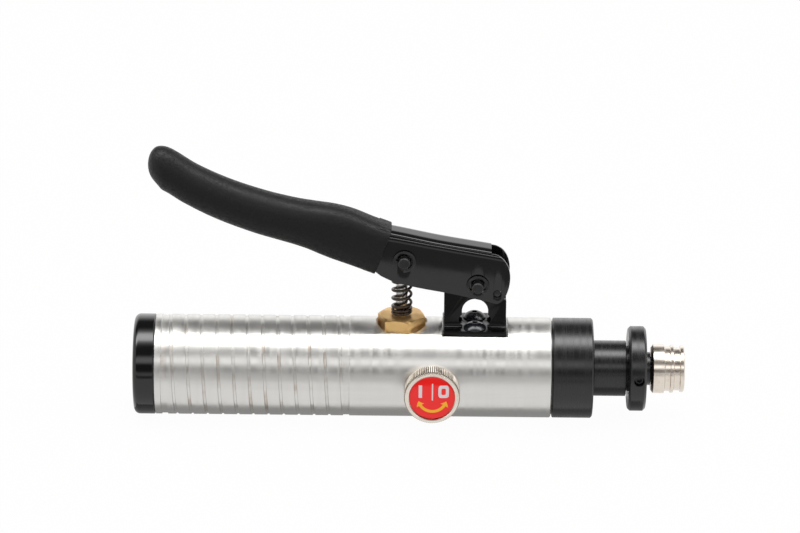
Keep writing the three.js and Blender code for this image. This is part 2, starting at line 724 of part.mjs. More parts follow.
function plunger() {
  const slotHigh = PIN_RADIUS + CLEAR;
  const pinAtRest = PIN_LEAD;
  const pinAtEnd = PIN_LEAD - pinDrift;
  const slot = new THREE.Shape();
  slot.absarc(pinAtEnd, pinZ, slotHigh, Math.PI / 2, 1.5 * Math.PI, false);
  slot.absarc(pinAtRest, pinZ, slotHigh, -Math.PI / 2, Math.PI / 2, false);
  const half = HEAD_LENGTH / 2;
  const head = block(
    [-half, -headHalfWidth, headBottomZ],
    [half, headHalfWidth, pinZ + HEAD_ABOVE_PIN],
  );
  const stem = rod("z", PLUNGER_RADIUS, plungerBottomZ, headBottomZ + 1);
  const slotted = cut(head, [slab(slot, -headHalfWidth - 1, headHalfWidth + 1)]);
  return join([slotted, stem]);
}

const pumpSpring = spring(PUMP_SPRING_RADIUS, PUMP_SPRING_WIRE, PUMP_SPRING_TURNS,
  nutTopZ + CLEAR, headBottomZ - CLEAR);

piece(pump, "gland_nut", glandNut(), "brass");
piece(pump, "gland_seal", glandSeal, "rubber");
piece(pump, "pump_plunger", plunger(), "groundSteel");
piece(pump, "pump_return_spring", pumpSpring, "springSteel");

// ---- Bracket and its screws ------------------------------------------------------------------------------------
function bracketEar() {
  const low = -BRACKET_BEHIND_PIVOT - EAR_LENGTH / 2;
  const high = low + EAR_LENGTH;
  const bottom = plateTopZ - pivotZ - BRACKET_PLATE_THICKNESS / 2;
  const shoulder = plateTopZ - pivotZ + EAR_SHOULDER_HEIGHT;
  const ledge = -STOP_PIN_BELOW - STOP_PIN_RADIUS - CLEAR;
  const ledgeStart = Math.sqrt(EAR_EYE_RADIUS ** 2 - ledge ** 2);
  const outline = new THREE.Shape();
  outline.moveTo(low, bottom);
  outline.lineTo(high, bottom);
  outline.lineTo(high, ledge);
  outline.lineTo(ledgeStart, ledge);
  outline.absarc(0, 0, EAR_EYE_RADIUS, Math.atan2(ledge, ledgeStart), Math.PI * 0.62, false);
  outline.lineTo(low, shoulder);
  return slab(outline, earOuter - EAR_THICKNESS, earOuter);
}

function bracketWindow() {
  const floor = plateTopZ - pivotZ;
  const bendTop = floor + EAR_FILLET;
  const archTop = floor + WINDOW_TOP;
  const archCentre = archTop - WINDOW_RADIUS;
  const arch = new THREE.Shape();
  arch.moveTo(-WINDOW_RADIUS, bendTop);
  arch.lineTo(WINDOW_RADIUS, bendTop);
  arch.lineTo(WINDOW_RADIUS, archCentre);
  arch.absarc(0, archCentre, WINDOW_RADIUS, 0, Math.PI, false);
  const reach = BRACKET_PLATE_HALF_WIDTH + 1;
  const half = WINDOW_SLOT_HALF_WIDTH;
  const notchZ = bendTop + WINDOW_NOTCH_RADIUS * 0.65;
  const tools = [
    slab(arch, -reach, reach),
    block([-half, -reach, floor], [half, reach, archCentre]),
  ];
  for (const side of [-1, 1]) {
    const x = side * (WINDOW_RADIUS - WINDOW_NOTCH_RADIUS / 2);
    tools.push(rod("front", WINDOW_NOTCH_RADIUS, -reach, reach).translate(x, 0, notchZ));
  }
  return tools.map((geometry) => geometry.translate(-BRACKET_BEHIND_PIVOT, 0, 0));
}

function earFillet() {
  const floor = plateTopZ - pivotZ;
  const sunk = 0.6;
  const outline = new THREE.Shape();
  outline.moveTo(-sunk, -sunk);
  outline.lineTo(EAR_FILLET, -sunk);
  outline.lineTo(EAR_FILLET, 0);
  outline.absarc(EAR_FILLET, EAR_FILLET, EAR_FILLET, -Math.PI / 2, -Math.PI, true);
  outline.lineTo(-sunk, EAR_FILLET);
  const options = { depth: EAR_LENGTH, bevelEnabled: false, curveSegments: 4 };
  return new THREE.ExtrudeGeometry(outline, options)
    .rotateX(Math.PI / 2)
    .rotateZ(Math.PI / 2)
    .translate(-BRACKET_BEHIND_PIVOT - EAR_LENGTH / 2, earOuter, floor);
}

function bracket() {
  const half = BRACKET_PLATE_LENGTH / 2;
  const top = plateTopZ - pivotZ;
  const bottom = flatZ - pivotZ;
  const plate = block(
    [-half - BRACKET_BEHIND_PIVOT, -BRACKET_PLATE_HALF_WIDTH, bottom],
    [half - BRACKET_BEHIND_PIVOT, BRACKET_PLATE_HALF_WIDTH, top],
  );
  const ear = bracketEar();
  const fillet = earFillet();
  const blank = join([
    plate,
    ear,
    mirrored(ear),
    fillet,
    mirrored(fillet),
  ]);
  const holes = [
    ...bracketWindow(),
    rod("front", PIN_RADIUS + CLEAR, -earOuter - 1, earOuter + 1),
  ];
  for (const side of [-1, 1]) {
    holes.push(
      rod("z", SCREW_RADIUS + CLEAR, bottom - 1, top + 1)
        .translate(-BRACKET_BEHIND_PIVOT, side * SCREW_SPREAD, 0),
    );
  }
  return cut(blank, holes);
}

/** A geometry's twin on the other side of the XZ plane. */
function mirrored(geometry) {
  const twin = (geometry.index ? geometry.toNonIndexed() : geometry.clone()).scale(1, -1, 1);
  const position = twin.getAttribute("position");
  for (let i = 0; i < position.count; i += 3) {
    const [x, y, z] = [position.getX(i), position.getY(i), position.getZ(i)];
    position.setXYZ(i, position.getX(i + 1), position.getY(i + 1), position.getZ(i + 1));
    position.setXYZ(i + 1, x, y, z);
  }
  return twin;
}

function bracketScrew() {
  const under = plateTopZ;
  const top = under + SCREW_HEAD_HEIGHT;
  const crown = spread(0, 1, 4).map((t) => [
    SCREW_HEAD_RADIUS * (1 - 0.52 * t * t),
    under + 0.6 + (SCREW_HEAD_HEIGHT - 0.6) * Math.sin((t * Math.PI) / 2),
  ]);
  const blank = turned("z", [
    [0, plateTopZ - SCREW_LENGTH],
    [SCREW_RADIUS, plateTopZ - SCREW_LENGTH],
    [SCREW_RADIUS, under],
    [SCREW_HEAD_RADIUS, under],
    ...crown,
    [0, top],
  ], 24);
  return cut(blank, [layer(hexagon(SCREW_SOCKET_FLATS, 0.3), top - 2, top + 1)]);
}

piece(lever, "pivot_bracket", bracket(), "blackPaint");
for (const [name, side] of [["front", -1], ["back", 1]]) {
  const screw = bracketScrew().translate(bracketX, side * SCREW_SPREAD, 0);
  piece(tool, `bracket_screw_${name}`, screw, "blackOxide");
}

// ---- Grip and the lever channel, in the pivot's own frame --------------------------------------------------------
const mouth = -GRIP_MOUTH_BEHIND_PIVOT;
const alongGrip = (share) => gripStart + share * GRIP_LENGTH;

/** Height of the grip's middle line. */
const gripMiddle = smooth(
  [[0, 1], [0.18, 0.728], [0.32, 0.55], [0.6, 0.319], [0.86, 0.134], [1, 0]].map(
    ([share, rise]) => [alongGrip(share), GRIP_MOUTH_ABOVE_PIVOT + rise * GRIP_TIP_ABOVE_MOUTH],
  ),
);

/** 0 over the hand's length, rising to 1 over the shoulder at the channel. */
function gripShoulder(x) {
  const shoulder = mouth - GRIP_SHOULDER_LENGTH;
  const half = GRIP_SHOULDER_BLEND / 2;
  return THREE.MathUtils.smoothstep(x, shoulder - half, shoulder + half);
}

/** Half the grip's height: slim over the hand's length, deeper over the channel. */
function gripHalfHeight(x) {
  return THREE.MathUtils.lerp(GRIP_HALF_HEIGHT, GRIP_SHOULDER_HALF_HEIGHT, gripShoulder(x));
}

/** Top and bottom of the tang inside the grip, and of the channel where it leaves the mouth. */
function tangTop(x) {
  const wall = THREE.MathUtils.lerp(GRIP_TIP_WALL, GRIP_TOP_WALL, gripShoulder(x));
  return gripMiddle(x) + gripHalfHeight(x) - wall;
}

function tangBottom(x) {
  const wall = THREE.MathUtils.lerp(GRIP_TIP_WALL, GRIP_BOTTOM_WALL, gripShoulder(x));
  return gripMiddle(x) - gripHalfHeight(x) + wall;
}

const webTop = smooth([
  [mouth, tangTop(mouth)],
  [-WEB_MIDDLE_BEHIND_PIVOT, WEB_MIDDLE_ABOVE_PIVOT],
  [WEB_END_AHEAD, WEB_END_ABOVE_PIVOT],
]);
const plateBottom = smooth([
  [mouth, tangBottom(mouth)],
  [-SIDE_FRONT_BEHIND_PIVOT, -SIDE_FRONT_BELOW_PIVOT],
  [-SIDE_MIDDLE_BEHIND_PIVOT, -SIDE_MIDDLE_BELOW_PIVOT],
  [SIDE_REAR_AHEAD, -SIDE_REAR_BELOW_PIVOT],
]);

/** Upper edge of the lever's side plates, web included. */
function leverTop(x) {
  if (x < mouth) {
    return tangTop(x);
  }
  if (x <= WEB_END_AHEAD) {
    return webTop(x);
  }
  const share = Math.min((x - WEB_END_AHEAD) / (LEVER_REAR_AHEAD - WEB_END_AHEAD), 1);
  const rise = WEB_END_ABOVE_PIVOT - CHANNEL_SHEET - LEVER_REAR_ABOVE_PIVOT;
  return LEVER_REAR_ABOVE_PIVOT + rise * Math.sqrt(1 - share * share);
}

/** Lower edge of the lever's side plates. */
function leverBottom(x) {
  if (x < mouth) {
    return tangBottom(x);
  }
  if (x <= SIDE_TURN_AHEAD) {
    return plateBottom(x);
  }
  const share = Math.min((x - SIDE_TURN_AHEAD) / (LEVER_REAR_AHEAD - SIDE_TURN_AHEAD), 1);
  const end = LEVER_REAR_ABOVE_PIVOT - LEVER_REAR_GAP;
  return end - (end - plateBottom(SIDE_TURN_AHEAD)) * Math.sqrt(1 - share * share);
}

function gripOuter() {
  const round = spread(0, Math.PI / 2, 5).map(
    (angle) => gripStart + GRIP_END_RADIUS * (1 - Math.cos(angle)),
  );
  const stations = [...round, ...spread(gripStart + GRIP_END_RADIUS, mouth, 12).slice(1)];
  const section = new THREE.Shape(arc(1, 0, 342, 19));
  return lofted(section, stations, (u, v, x) => {
    const share = (x - gripStart) / GRIP_LENGTH;
    const fromEnd = Math.min((x - gripStart) / GRIP_END_RADIUS, 1);
    const swell = Math.max(Math.sqrt(1 - (1 - fromEnd) ** 2), 0.3);
    const squareness = THREE.MathUtils.lerp(2.4, 3.8, share);
    const bend = (value) => Math.sign(value) * Math.abs(value) ** (2 / squareness);
    return [
      x + GRIP_MOUTH_LEAN * bend(v) * share,
      bend(u) * GRIP_HALF_WIDTH * THREE.MathUtils.lerp(0.94, 1, share) * swell,
      gripMiddle(x) + bend(v) * gripHalfHeight(x) * swell,
    ];
  });
}

const tangStart = gripStart + TANG_END_COVER;

/** The lever's outer envelope, grown on all sides: the room that it needs in the grip. */
function tangRoom() {
  const half = CHANNEL_HALF_WIDTH + CLEAR;
  const section = new THREE.Shape([[-1, -1], [1, -1], [1, 1], [-1, 1]].map(
    ([u, v]) => new THREE.Vector2(u, v),
  ));
  const stations = spread(tangStart - CLEAR, mouth + 2 * GRIP_MOUTH_LEAN, 12);
  return lofted(section, stations, (u, v, x) => [
    x,
    u * half,
    v > 0 ? leverTop(x) + CLEAR : leverBottom(x) - CLEAR,
  ]);
}

function leverChannel() {
  const outer = CHANNEL_HALF_WIDTH;
  const inner = channelInner;
  const deep = -2 * PIVOT_ABOVE_FLAT;
  const innerBend = CHANNEL_BEND - CHANNEL_SHEET;
  const corner = (radius, x, z, from, to) => arc(radius, from, to, 2).map(
    (point) => new THREE.Vector2(point.x + x, point.y + z),
  );
  const section = new THREE.Shape([
    new THREE.Vector2(outer, deep),
    ...corner(CHANNEL_BEND, outer - CHANNEL_BEND, -CHANNEL_BEND, 0, 90),
    ...corner(CHANNEL_BEND, CHANNEL_BEND - outer, -CHANNEL_BEND, 90, 180),
    new THREE.Vector2(-outer, deep),
    new THREE.Vector2(-inner, deep),
    ...corner(innerBend, innerBend - inner, -CHANNEL_SHEET - innerBend, 180, 90),
    ...corner(innerBend, inner - innerBend, -CHANNEL_SHEET - innerBend, 90, 0),
    new THREE.Vector2(inner, deep),
  ]);
  const rearStations = spread(0, Math.PI / 2, 6).map(
    (angle) => WEB_END_AHEAD + (LEVER_REAR_AHEAD - WEB_END_AHEAD) * Math.sin(angle),
  );
  const stations = [
    ...spread(tangStart, mouth, 9),
    ...spread(mouth, WEB_END_AHEAD, 5).slice(1),
    ...rearStations.slice(1),
  ];
  const channel = lofted(section, stations, (u, v, x) => [
    x,
    u,
    v < -2 * CHANNEL_BEND ? leverBottom(x) : leverTop(x) + v,
  ]);
  const holes = [
    block([WEB_END_AHEAD, -inner, deep], [LEVER_REAR_AHEAD + 1, inner, -deep]),
    rod("front", PIN_RADIUS + CLEAR, -outer - 1, outer + 1),
    rod("front", PIN_RADIUS + CLEAR, -outer - 1, outer + 1)
      .translate(-pinBehindPivot, 0, PIN_ABOVE_PIVOT),
    rod("front", STOP_PIN_RADIUS + CLEAR, -outer - 1, outer + 1, ROUND.tiny)
      .translate(STOP_PIN_AHEAD, 0, -STOP_PIN_BELOW),
  ];
  return cut(channel, holes);
}

piece(lever, "lever_channel", leverChannel(), "blackPaint");
piece(lever, "lever_grip", cut(gripOuter(), [tangRoom()]), "blackFoam");

// ---- Pins and their clips ------------------------------------------------------------------------------------------
function clippedPin() {
  const end = clipOuter + PIN_PROUD;
  const half = [
    [CLIP_GROOVE_RADIUS, clipInner - CLEAR / 2],
    [CLIP_GROOVE_RADIUS, clipOuter + CLEAR / 2],
    [PIN_RADIUS, clipOuter + CLEAR / 2],
    [PIN_RADIUS, end - 0.4],
    [PIN_RADIUS - 0.4, end],
  ];
  const start = [PIN_RADIUS, clipInner - CLEAR / 2];
  const other = [start, ...half].map(([radius, along]) => [radius, -along]).reverse();
  return turned("front", [[0, -end], ...other, start, ...half, [0, end]], ROUND.small);
}

/** An E-clip in the XZ plane, its mouth turned from straight down. */
function clip(side, mouthTurn) {
  const grasp = CLIP_GROOVE_RADIUS + CLEAR;
  const pocket = (CLIP_RADIUS + grasp) / 2 - 0.2;
  const shape = new THREE.Shape([
    ...arc(CLIP_RADIUS, -58, 238, 20),
    ...arc(grasp, 238, 214, 2),
    ...arc(pocket, 210, 106, 6),
    ...arc(grasp, 102, 78, 2),
    ...arc(pocket, 74, -30, 6),
    ...arc(grasp, -34, -58, 2),
  ]);
  const low = side < 0 ? -clipOuter : clipInner;
  const flat = slab(shape, low, low + CLIP_THICKNESS);
  return flat.rotateY(mouthTurn);
}

const clippedPins = [
  ["pivot_pin", 0, 0, 0],
  ["plunger_pin", -pinBehindPivot, PIN_ABOVE_PIVOT, THREE.MathUtils.degToRad(38)],
];
for (const [name, x, z, mouthTurn] of clippedPins) {
  piece(lever, name, clippedPin().translate(x, 0, z), "blackOxide");
  for (const [end, side] of [["front", -1], ["back", 1]]) {
    piece(lever, `${name}_clip_${end}`, clip(side, mouthTurn).translate(x, 0, z), "blackOxide");
  }
}

const stopPinEnd = CHANNEL_HALF_WIDTH - STOP_PIN_RECESS;
const stopPin = rod("front", STOP_PIN_RADIUS, -stopPinEnd, stopPinEnd, ROUND.tiny);
piece(lever, "stop_pin", stopPin.translate(STOP_PIN_AHEAD, 0, -STOP_PIN_BELOW), "blackOxide");

// ---- Release valve and knob, along -Y from the body's axis ------------------------------------------------------------
const labelFaceY = knobEndY - LABEL_RECESS;
const labelSeatY = labelFaceY - LABEL_THICKNESS - LABEL_CROWN / 2;
const spindleEndY = knobStartY + KNOB_LENGTH * 0.42;
const screwHeadY = labelSeatY - CLEAR - 1.9;
const screwTipY = spindleEndY - 5;

function spindle() {
  return cut(turned("front", [
    [0, spindleTipY],
    [SPINDLE_NOSE_RADIUS, spindleTipY],
    [SPINDLE_NOSE_RADIUS, spindleStepY],
    [SPINDLE_RADIUS, spindleStepY],
    [SPINDLE_RADIUS, knobStartY - CLEAR],
    [SPINDLE_RADIUS - 1, knobStartY - CLEAR],
    [SPINDLE_RADIUS - 1, spindleEndY],
    [0, spindleEndY],
  ], ROUND.small), [
    rod("front", KNOB_SCREW_RADIUS + CLEAR, screwTipY - 0.5, spindleEndY + 1, ROUND.tiny),
  ]);
}

function glandBush() {
  return turned("front", [
    [SPINDLE_RADIUS + CLEAR, glandStartY],
    [GLAND_BUSH_RADIUS, glandStartY],
    [GLAND_BUSH_RADIUS, glandFlangeY],
    [GLAND_FLANGE_RADIUS, glandFlangeY],
    [GLAND_FLANGE_RADIUS, glandEndY],
    [SPINDLE_RADIUS + CLEAR, glandEndY],
    [SPINDLE_RADIUS + CLEAR, glandStartY],
  ], 24);
}

const spindleSeal = ring("front", SPINDLE_RADIUS + CLEAR, GLAND_BUSH_RADIUS,
  threadEndY + CLEAR, threadEndY + CLEAR + SPINDLE_SEAL_WIDTH, ROUND.small);

function releaseKnob() {
  const knurl = [];
  for (let i = 0; i < 2 * KNOB_TEETH; i += 1) {
    const radius = i % 2 ? KNOB_RADIUS - KNOB_TOOTH_DEPTH : KNOB_RADIUS;
    const angle = (i * Math.PI) / KNOB_TEETH;
    knurl.push(new THREE.Vector2(radius * Math.cos(angle), radius * Math.sin(angle)));
  }
  const bezelStart = knobEndY - KNOB_BEZEL_LENGTH;
  const knurled = new THREE.ExtrudeGeometry(new THREE.Shape(knurl), {
    depth: KNOB_LENGTH - 2 * KNOB_BEZEL_LENGTH,
    bevelEnabled: false,
  }).rotateX(Math.PI / 2).translate(0, -knobStartY - KNOB_BEZEL_LENGTH, 0);
  const core = turned("front", [
    [0, knobStartY],
    [KNOB_BEZEL_RADIUS - 0.4, knobStartY],
    [KNOB_RADIUS - 1, knobStartY + KNOB_BEZEL_LENGTH + 0.2],
    [KNOB_RADIUS - 1, bezelStart - 0.2],
    [KNOB_BEZEL_RADIUS, knobEndY],
    [0, knobEndY],
  ]);
  return cut(join([knurled, core]), [
    rod("front", LABEL_RADIUS + CLEAR, labelSeatY - CLEAR, knobEndY + 1, ROUND.medium),
    rod("front", SPINDLE_RADIUS - 1 + CLEAR, knobStartY - 1, spindleEndY + CLEAR),
    rod("front", KNOB_SCREW_RADIUS + CLEAR, spindleEndY, knobEndY, ROUND.tiny),
    rod("front", KNOB_SCREW_HEAD_RADIUS + CLEAR, screwHeadY - CLEAR, knobEndY, ROUND.small),
  ]);
}

function knobLabel() {
  const crown = spread(0, 1, 4).map((t) => [
    LABEL_RADIUS * (1 - t),
    labelFaceY - LABEL_CROWN * (1 - t) * (1 - t) + LABEL_CROWN / 2,
  ]);
  return turned("front", [[0, labelSeatY], [LABEL_RADIUS, labelSeatY], ...crown]);
}

const knobScrew = turned("front", [
  [0, screwTipY],
  [KNOB_SCREW_RADIUS, screwTipY],
  [KNOB_SCREW_RADIUS, screwHeadY],
  [KNOB_SCREW_HEAD_RADIUS, screwHeadY],
  [KNOB_SCREW_HEAD_RADIUS, labelSeatY - CLEAR],
  [0, labelSeatY - CLEAR],
], ROUND.tiny);

const releaseBall = ball(RELEASE_BALL_RADIUS).translate(0, -releaseBallY, 0);
piece(release, "release_ball", releaseBall, "groundSteel");
piece(release, "release_spindle", spindle(), "groundSteel");
piece(release, "spindle_seal", spindleSeal, "rubber");
piece(release, "spindle_gland", glandBush(), "nickel");
piece(release, "release_knob", releaseKnob(), "nickel");
piece(release, "knob_screw", knobScrew, "groundSteel");
piece(release, "knob_label", knobLabel(), "redLabel");

// ---- Front head, ram and nose, from the ram bore's inner end along +X ----------------------------------------------------
const headStart = RAM_BORE_LENGTH + HEAD_GAP;
const headEnd = headStart + HEAD_RING_LENGTH;
const neckEnd = headEnd + NECK_LENGTH;
const spigotTip = neckEnd + NECK_SPIGOT_LENGTH;
const headSpigotStart = headStart - HEAD_SPIGOT_LENGTH;
const springRoomEnd = headEnd - 3;
const rodBore = ROD_RADIUS + CLEAR;
const wiperStart = spigotTip - WIPER_WIDTH - 2 * CLEAR;
const collarStart = neckEnd + CLEAR;
const collarEnd = collarStart + COLLAR_LENGTH;
const noseStart = collarEnd + NOSE_STANDOFF;
const pistonStart = 1;
const pistonEnd = pistonStart + PISTON_THICKNESS;

function frontHead() {
  const ringChamfer = BODY_RADIUS - HEAD_CHAMFER;
  return turned("x", [
    [rodBore, springRoomEnd],
    [SPRING_ROOM_RADIUS, springRoomEnd],
    [SPRING_ROOM_RADIUS, headSpigotStart],
    [RAM_BORE_RADIUS - CLEAR, headSpigotStart],
    [RAM_BORE_RADIUS - CLEAR, headStart],
    [BODY_RADIUS - BODY_CHAMFER, headStart],
    [BODY_RADIUS, headStart + BODY_CHAMFER],
    [BODY_RADIUS, headEnd - HEAD_CHAMFER],
    [ringChamfer, headEnd],
    [NECK_RADIUS, headEnd],
    [NECK_RADIUS, neckEnd],
    [NECK_SPIGOT_RADIUS, neckEnd],
    [NECK_SPIGOT_RADIUS, spigotTip],
    [rodBore + WIPER_WALL + CLEAR / 2, spigotTip],
    [rodBore + WIPER_WALL + CLEAR / 2, wiperStart],
    [rodBore, wiperStart],
    [rodBore, springRoomEnd],
  ], ROUND.large);
}

const wiper = ring("x", rodBore, rodBore + WIPER_WALL - CLEAR / 2, wiperStart + CLEAR,
  wiperStart + CLEAR + WIPER_WIDTH);

const collarHoleX = (collarStart + collarEnd) / 2 + 1;

function guideCollar() {
  const blank = turned("x", [
    [NECK_SPIGOT_RADIUS + CLEAR, collarStart],
    [COLLAR_RADIUS - COLLAR_CHAMFER, collarStart],
    [COLLAR_RADIUS, collarStart + COLLAR_CHAMFER],
    [COLLAR_RADIUS, collarEnd - COLLAR_CHAMFER],
    [COLLAR_RADIUS - COLLAR_CHAMFER, collarEnd],
    [rodBore, collarEnd],
    [rodBore, spigotTip + CLEAR],
    [NECK_SPIGOT_RADIUS + CLEAR, spigotTip + CLEAR],
    [NECK_SPIGOT_RADIUS + CLEAR, collarStart],
  ], ROUND.large);
  const hole = rod("front", COLLAR_HOLE_RADIUS, NECK_SPIGOT_RADIUS - 2, COLLAR_RADIUS + 2)
    .translate(collarHoleX, 0, 0);
  return cut(blank, [hole]);
}

const collarScrewTip = NECK_SPIGOT_RADIUS + CLEAR;
const collarScrewEnd = COLLAR_RADIUS - COLLAR_SCREW_RECESS;
const collarScrewRadius = COLLAR_HOLE_RADIUS - CLEAR;

function collarSetScrew() {
  const grub = rod("front", collarScrewRadius, collarScrewTip, collarScrewEnd);
  const socket = layer(hexagon(2.5), collarScrewEnd - 2, collarScrewEnd + 1);
  socket.rotateX(Math.PI / 2);
  return cut(grub, [socket]).translate(collarHoleX, 0, 0);
}

function ramRod() {
  return turned("x", [
    [0, -PISTON_NUT_HEIGHT],
    [ROD_TAIL_RADIUS, -PISTON_NUT_HEIGHT],
    [ROD_TAIL_RADIUS, pistonEnd],
    [ROD_RADIUS, pistonEnd],
    [ROD_RADIUS, noseStart - CLEAR],
    [NOSE_STUD_RADIUS, noseStart - CLEAR],
    [NOSE_STUD_RADIUS, noseStart + NOSE_STUD_LENGTH],
    [0, noseStart + NOSE_STUD_LENGTH],
  ]);
}

const pistonOuter = RAM_BORE_RADIUS - CLEAR;
const pistonSealFrom = pistonStart + (PISTON_THICKNESS - PISTON_SEAL_WIDTH) / 2 - CLEAR;
const pistonSealTo = pistonSealFrom + PISTON_SEAL_WIDTH + 2 * CLEAR;
const pistonSealFloor = pistonOuter - PISTON_SEAL_DEPTH - CLEAR;

function ramPiston() {
  const bore = ROD_TAIL_RADIUS + CLEAR;
  return turned("x", [
    [bore, pistonStart],
    [pistonOuter, pistonStart],
    [pistonOuter, pistonSealFrom],
    [pistonSealFloor, pistonSealFrom],
    [pistonSealFloor, pistonSealTo],
    [pistonOuter, pistonSealTo],
    [pistonOuter, pistonEnd],
    [bore, pistonEnd],
    [bore, pistonStart],
  ]);
}

const pistonSeal = ring("x", pistonSealFloor + CLEAR, pistonOuter, pistonSealFrom + CLEAR,
  pistonSealTo - CLEAR);

function pistonNut() {
  const nutEnd = pistonStart;
  const hex = layer(hexagon(PISTON_NUT_FLATS), nutEnd - PISTON_NUT_HEIGHT, nutEnd);
  const bore = rod("z", ROD_TAIL_RADIUS + CLEAR, nutEnd - PISTON_NUT_HEIGHT - 1, nutEnd + 1);
  return cut(hex, [bore]).rotateY(Math.PI / 2);
}

const ramSpring = spring(SPRING_ROOM_RADIUS - CLEAR - RAM_SPRING_WIRE / 2, RAM_SPRING_WIRE,
  RAM_SPRING_TURNS, pistonEnd, springRoomEnd - CLEAR).rotateY(Math.PI / 2);

function noseTip() {
  const end = noseStart + NOSE_LENGTH;
  const bore = NOSE_STUD_RADIUS + CLEAR;
  const boreEnd = noseStart + NOSE_STUD_LENGTH + CLEAR;
  return turned("x", [
    [0, boreEnd],
    [bore, boreEnd],
    [bore, noseStart],
    [NOSE_RADIUS - 1.4, noseStart],
    [NOSE_RADIUS, noseStart + 1.2],
    [NOSE_RADIUS, noseStart + 5.6],
    [NOSE_RADIUS - 1.3, noseStart + 6.6],
    [NOSE_RADIUS - 1.3, noseStart + 8.9],
    [NOSE_RADIUS - 0.6, noseStart + 9.4],
    [NOSE_RADIUS - 0.6, noseStart + 10.8],
    [NOSE_RADIUS - 1.9, noseStart + 11.5],
    [NOSE_RADIUS - 1.9, noseStart + 13.7],
    [NOSE_RADIUS - 1.1, noseStart + 14.3],
    [NOSE_RADIUS - 1.1, end - 0.8],
    [NOSE_RADIUS - 1.9, end],
    [0, end],
  ]);
}

piece(front, "front_head", frontHead(), "blackOxide");
piece(front, "rod_wiper", wiper, "rubber");
piece(front, "guide_collar", guideCollar(), "blackOxide");
piece(front, "collar_set_screw", collarSetScrew(), "blackOxide");
piece(front, "ram_rod", ramRod(), "blackOxide");
piece(front, "ram_piston", ramPiston(), "groundSteel");
piece(front, "piston_seal", pistonSeal, "rubber");
piece(front, "piston_nut", pistonNut(), "groundSteel");
piece(front, "ram_return_spring", ramSpring, "springSteel");
piece(front, "nose_tip", noseTip(), "nickel");

export default tool;
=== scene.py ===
"""A hand-lever hydraulic ram tool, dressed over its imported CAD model.

Blender 4.5, in metres. The frame is the CAD model's: the body's axis is X with the rear cap's end
face at 0, +Z is up towards the pump lever and -Y is the release knob's side.
"""

import json
import math

import bmesh
import bpy
import numpy as np
from mathutils import Matrix, Vector


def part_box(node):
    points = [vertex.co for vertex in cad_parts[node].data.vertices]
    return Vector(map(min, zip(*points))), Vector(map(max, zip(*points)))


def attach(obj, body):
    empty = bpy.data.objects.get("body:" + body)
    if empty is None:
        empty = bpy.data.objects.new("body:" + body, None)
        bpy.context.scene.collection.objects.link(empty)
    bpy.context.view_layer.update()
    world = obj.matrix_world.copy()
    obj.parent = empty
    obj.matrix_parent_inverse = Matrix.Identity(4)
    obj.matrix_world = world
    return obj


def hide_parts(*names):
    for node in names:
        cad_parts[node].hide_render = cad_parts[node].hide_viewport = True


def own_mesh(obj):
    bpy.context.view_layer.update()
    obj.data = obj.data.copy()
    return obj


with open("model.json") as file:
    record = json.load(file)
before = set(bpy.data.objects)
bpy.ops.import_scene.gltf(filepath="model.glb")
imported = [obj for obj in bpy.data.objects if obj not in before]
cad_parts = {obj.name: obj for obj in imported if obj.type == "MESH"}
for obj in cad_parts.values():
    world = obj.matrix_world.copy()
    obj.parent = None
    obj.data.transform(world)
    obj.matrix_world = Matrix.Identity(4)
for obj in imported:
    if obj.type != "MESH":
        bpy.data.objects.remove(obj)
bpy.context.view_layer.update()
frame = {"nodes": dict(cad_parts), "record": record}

MM = 0.001


class Place:
    """Where a CAD node is: its corners, middle and size."""

    def __init__(self, node):
        self.low, self.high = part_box(node)
        self.mid = (self.low + self.high) / 2
        self.size = self.high - self.low


PLACE = {name: Place(name) for name in frame["nodes"]}
BODY = PLACE["cylinder_body"]
CAP = PLACE["rear_cap"]
HEAD = PLACE["front_head"]
COLLAR = PLACE["guide_collar"]
NOSE = PLACE["nose_tip"]
NUT = PLACE["gland_nut"]
KNOB = PLACE["release_knob"]
LABEL = PLACE["knob_label"]
BRACKET = PLACE["pivot_bracket"]
CHANNEL = PLACE["lever_channel"]
GRIP = PLACE["lever_grip"]
PIVOT = PLACE["pivot_pin"].mid
PLUNGER_PIN = PLACE["plunger_pin"].mid
BODY_RADIUS = BODY.size.y / 2
FLAT_Z = BRACKET.low.z
PUMP_X = NUT.mid.x
PUMP_AT = (PUMP_X, 0)
KNOB_X = KNOB.mid.x

scene = bpy.context.scene
scene.view_settings.view_transform = "Standard"


def new_object(name, data):
    made = bpy.data.objects.new(name, data)
    scene.collection.objects.link(made)
    return made


# ---- Camera ----

VIEW_ELEVATION = math.radians(22.4)
VIEW_ROLL = math.radians(0.587)
VIEW_DISTANCE = 2.1
VIEW_LENS = 188.65
VIEW_AIM = Vector((0.1322, 0.01895, 0.04607))


def make_camera():
    data = bpy.data.cameras.new("camera")
    data.lens, data.sensor_width, data.clip_end = VIEW_LENS, 36, 20
    camera = new_object("camera", data)
    forward = Vector((0, math.cos(VIEW_ELEVATION), -math.sin(VIEW_ELEVATION)))
    level = Vector((1, 0, 0))
    upright = level.cross(forward)
    right = level * math.cos(VIEW_ROLL) + upright * math.sin(VIEW_ROLL)
    up = upright * math.cos(VIEW_ROLL) - level * math.sin(VIEW_ROLL)
    turn = Matrix((right, up, -forward)).transposed().to_4x4()
    camera.matrix_world = Matrix.Translation(VIEW_AIM - forward * VIEW_DISTANCE) @ turn
    scene.camera = camera


make_camera()

# ---- Shader nodes ----

WHITE = (1, 1, 1, 1)


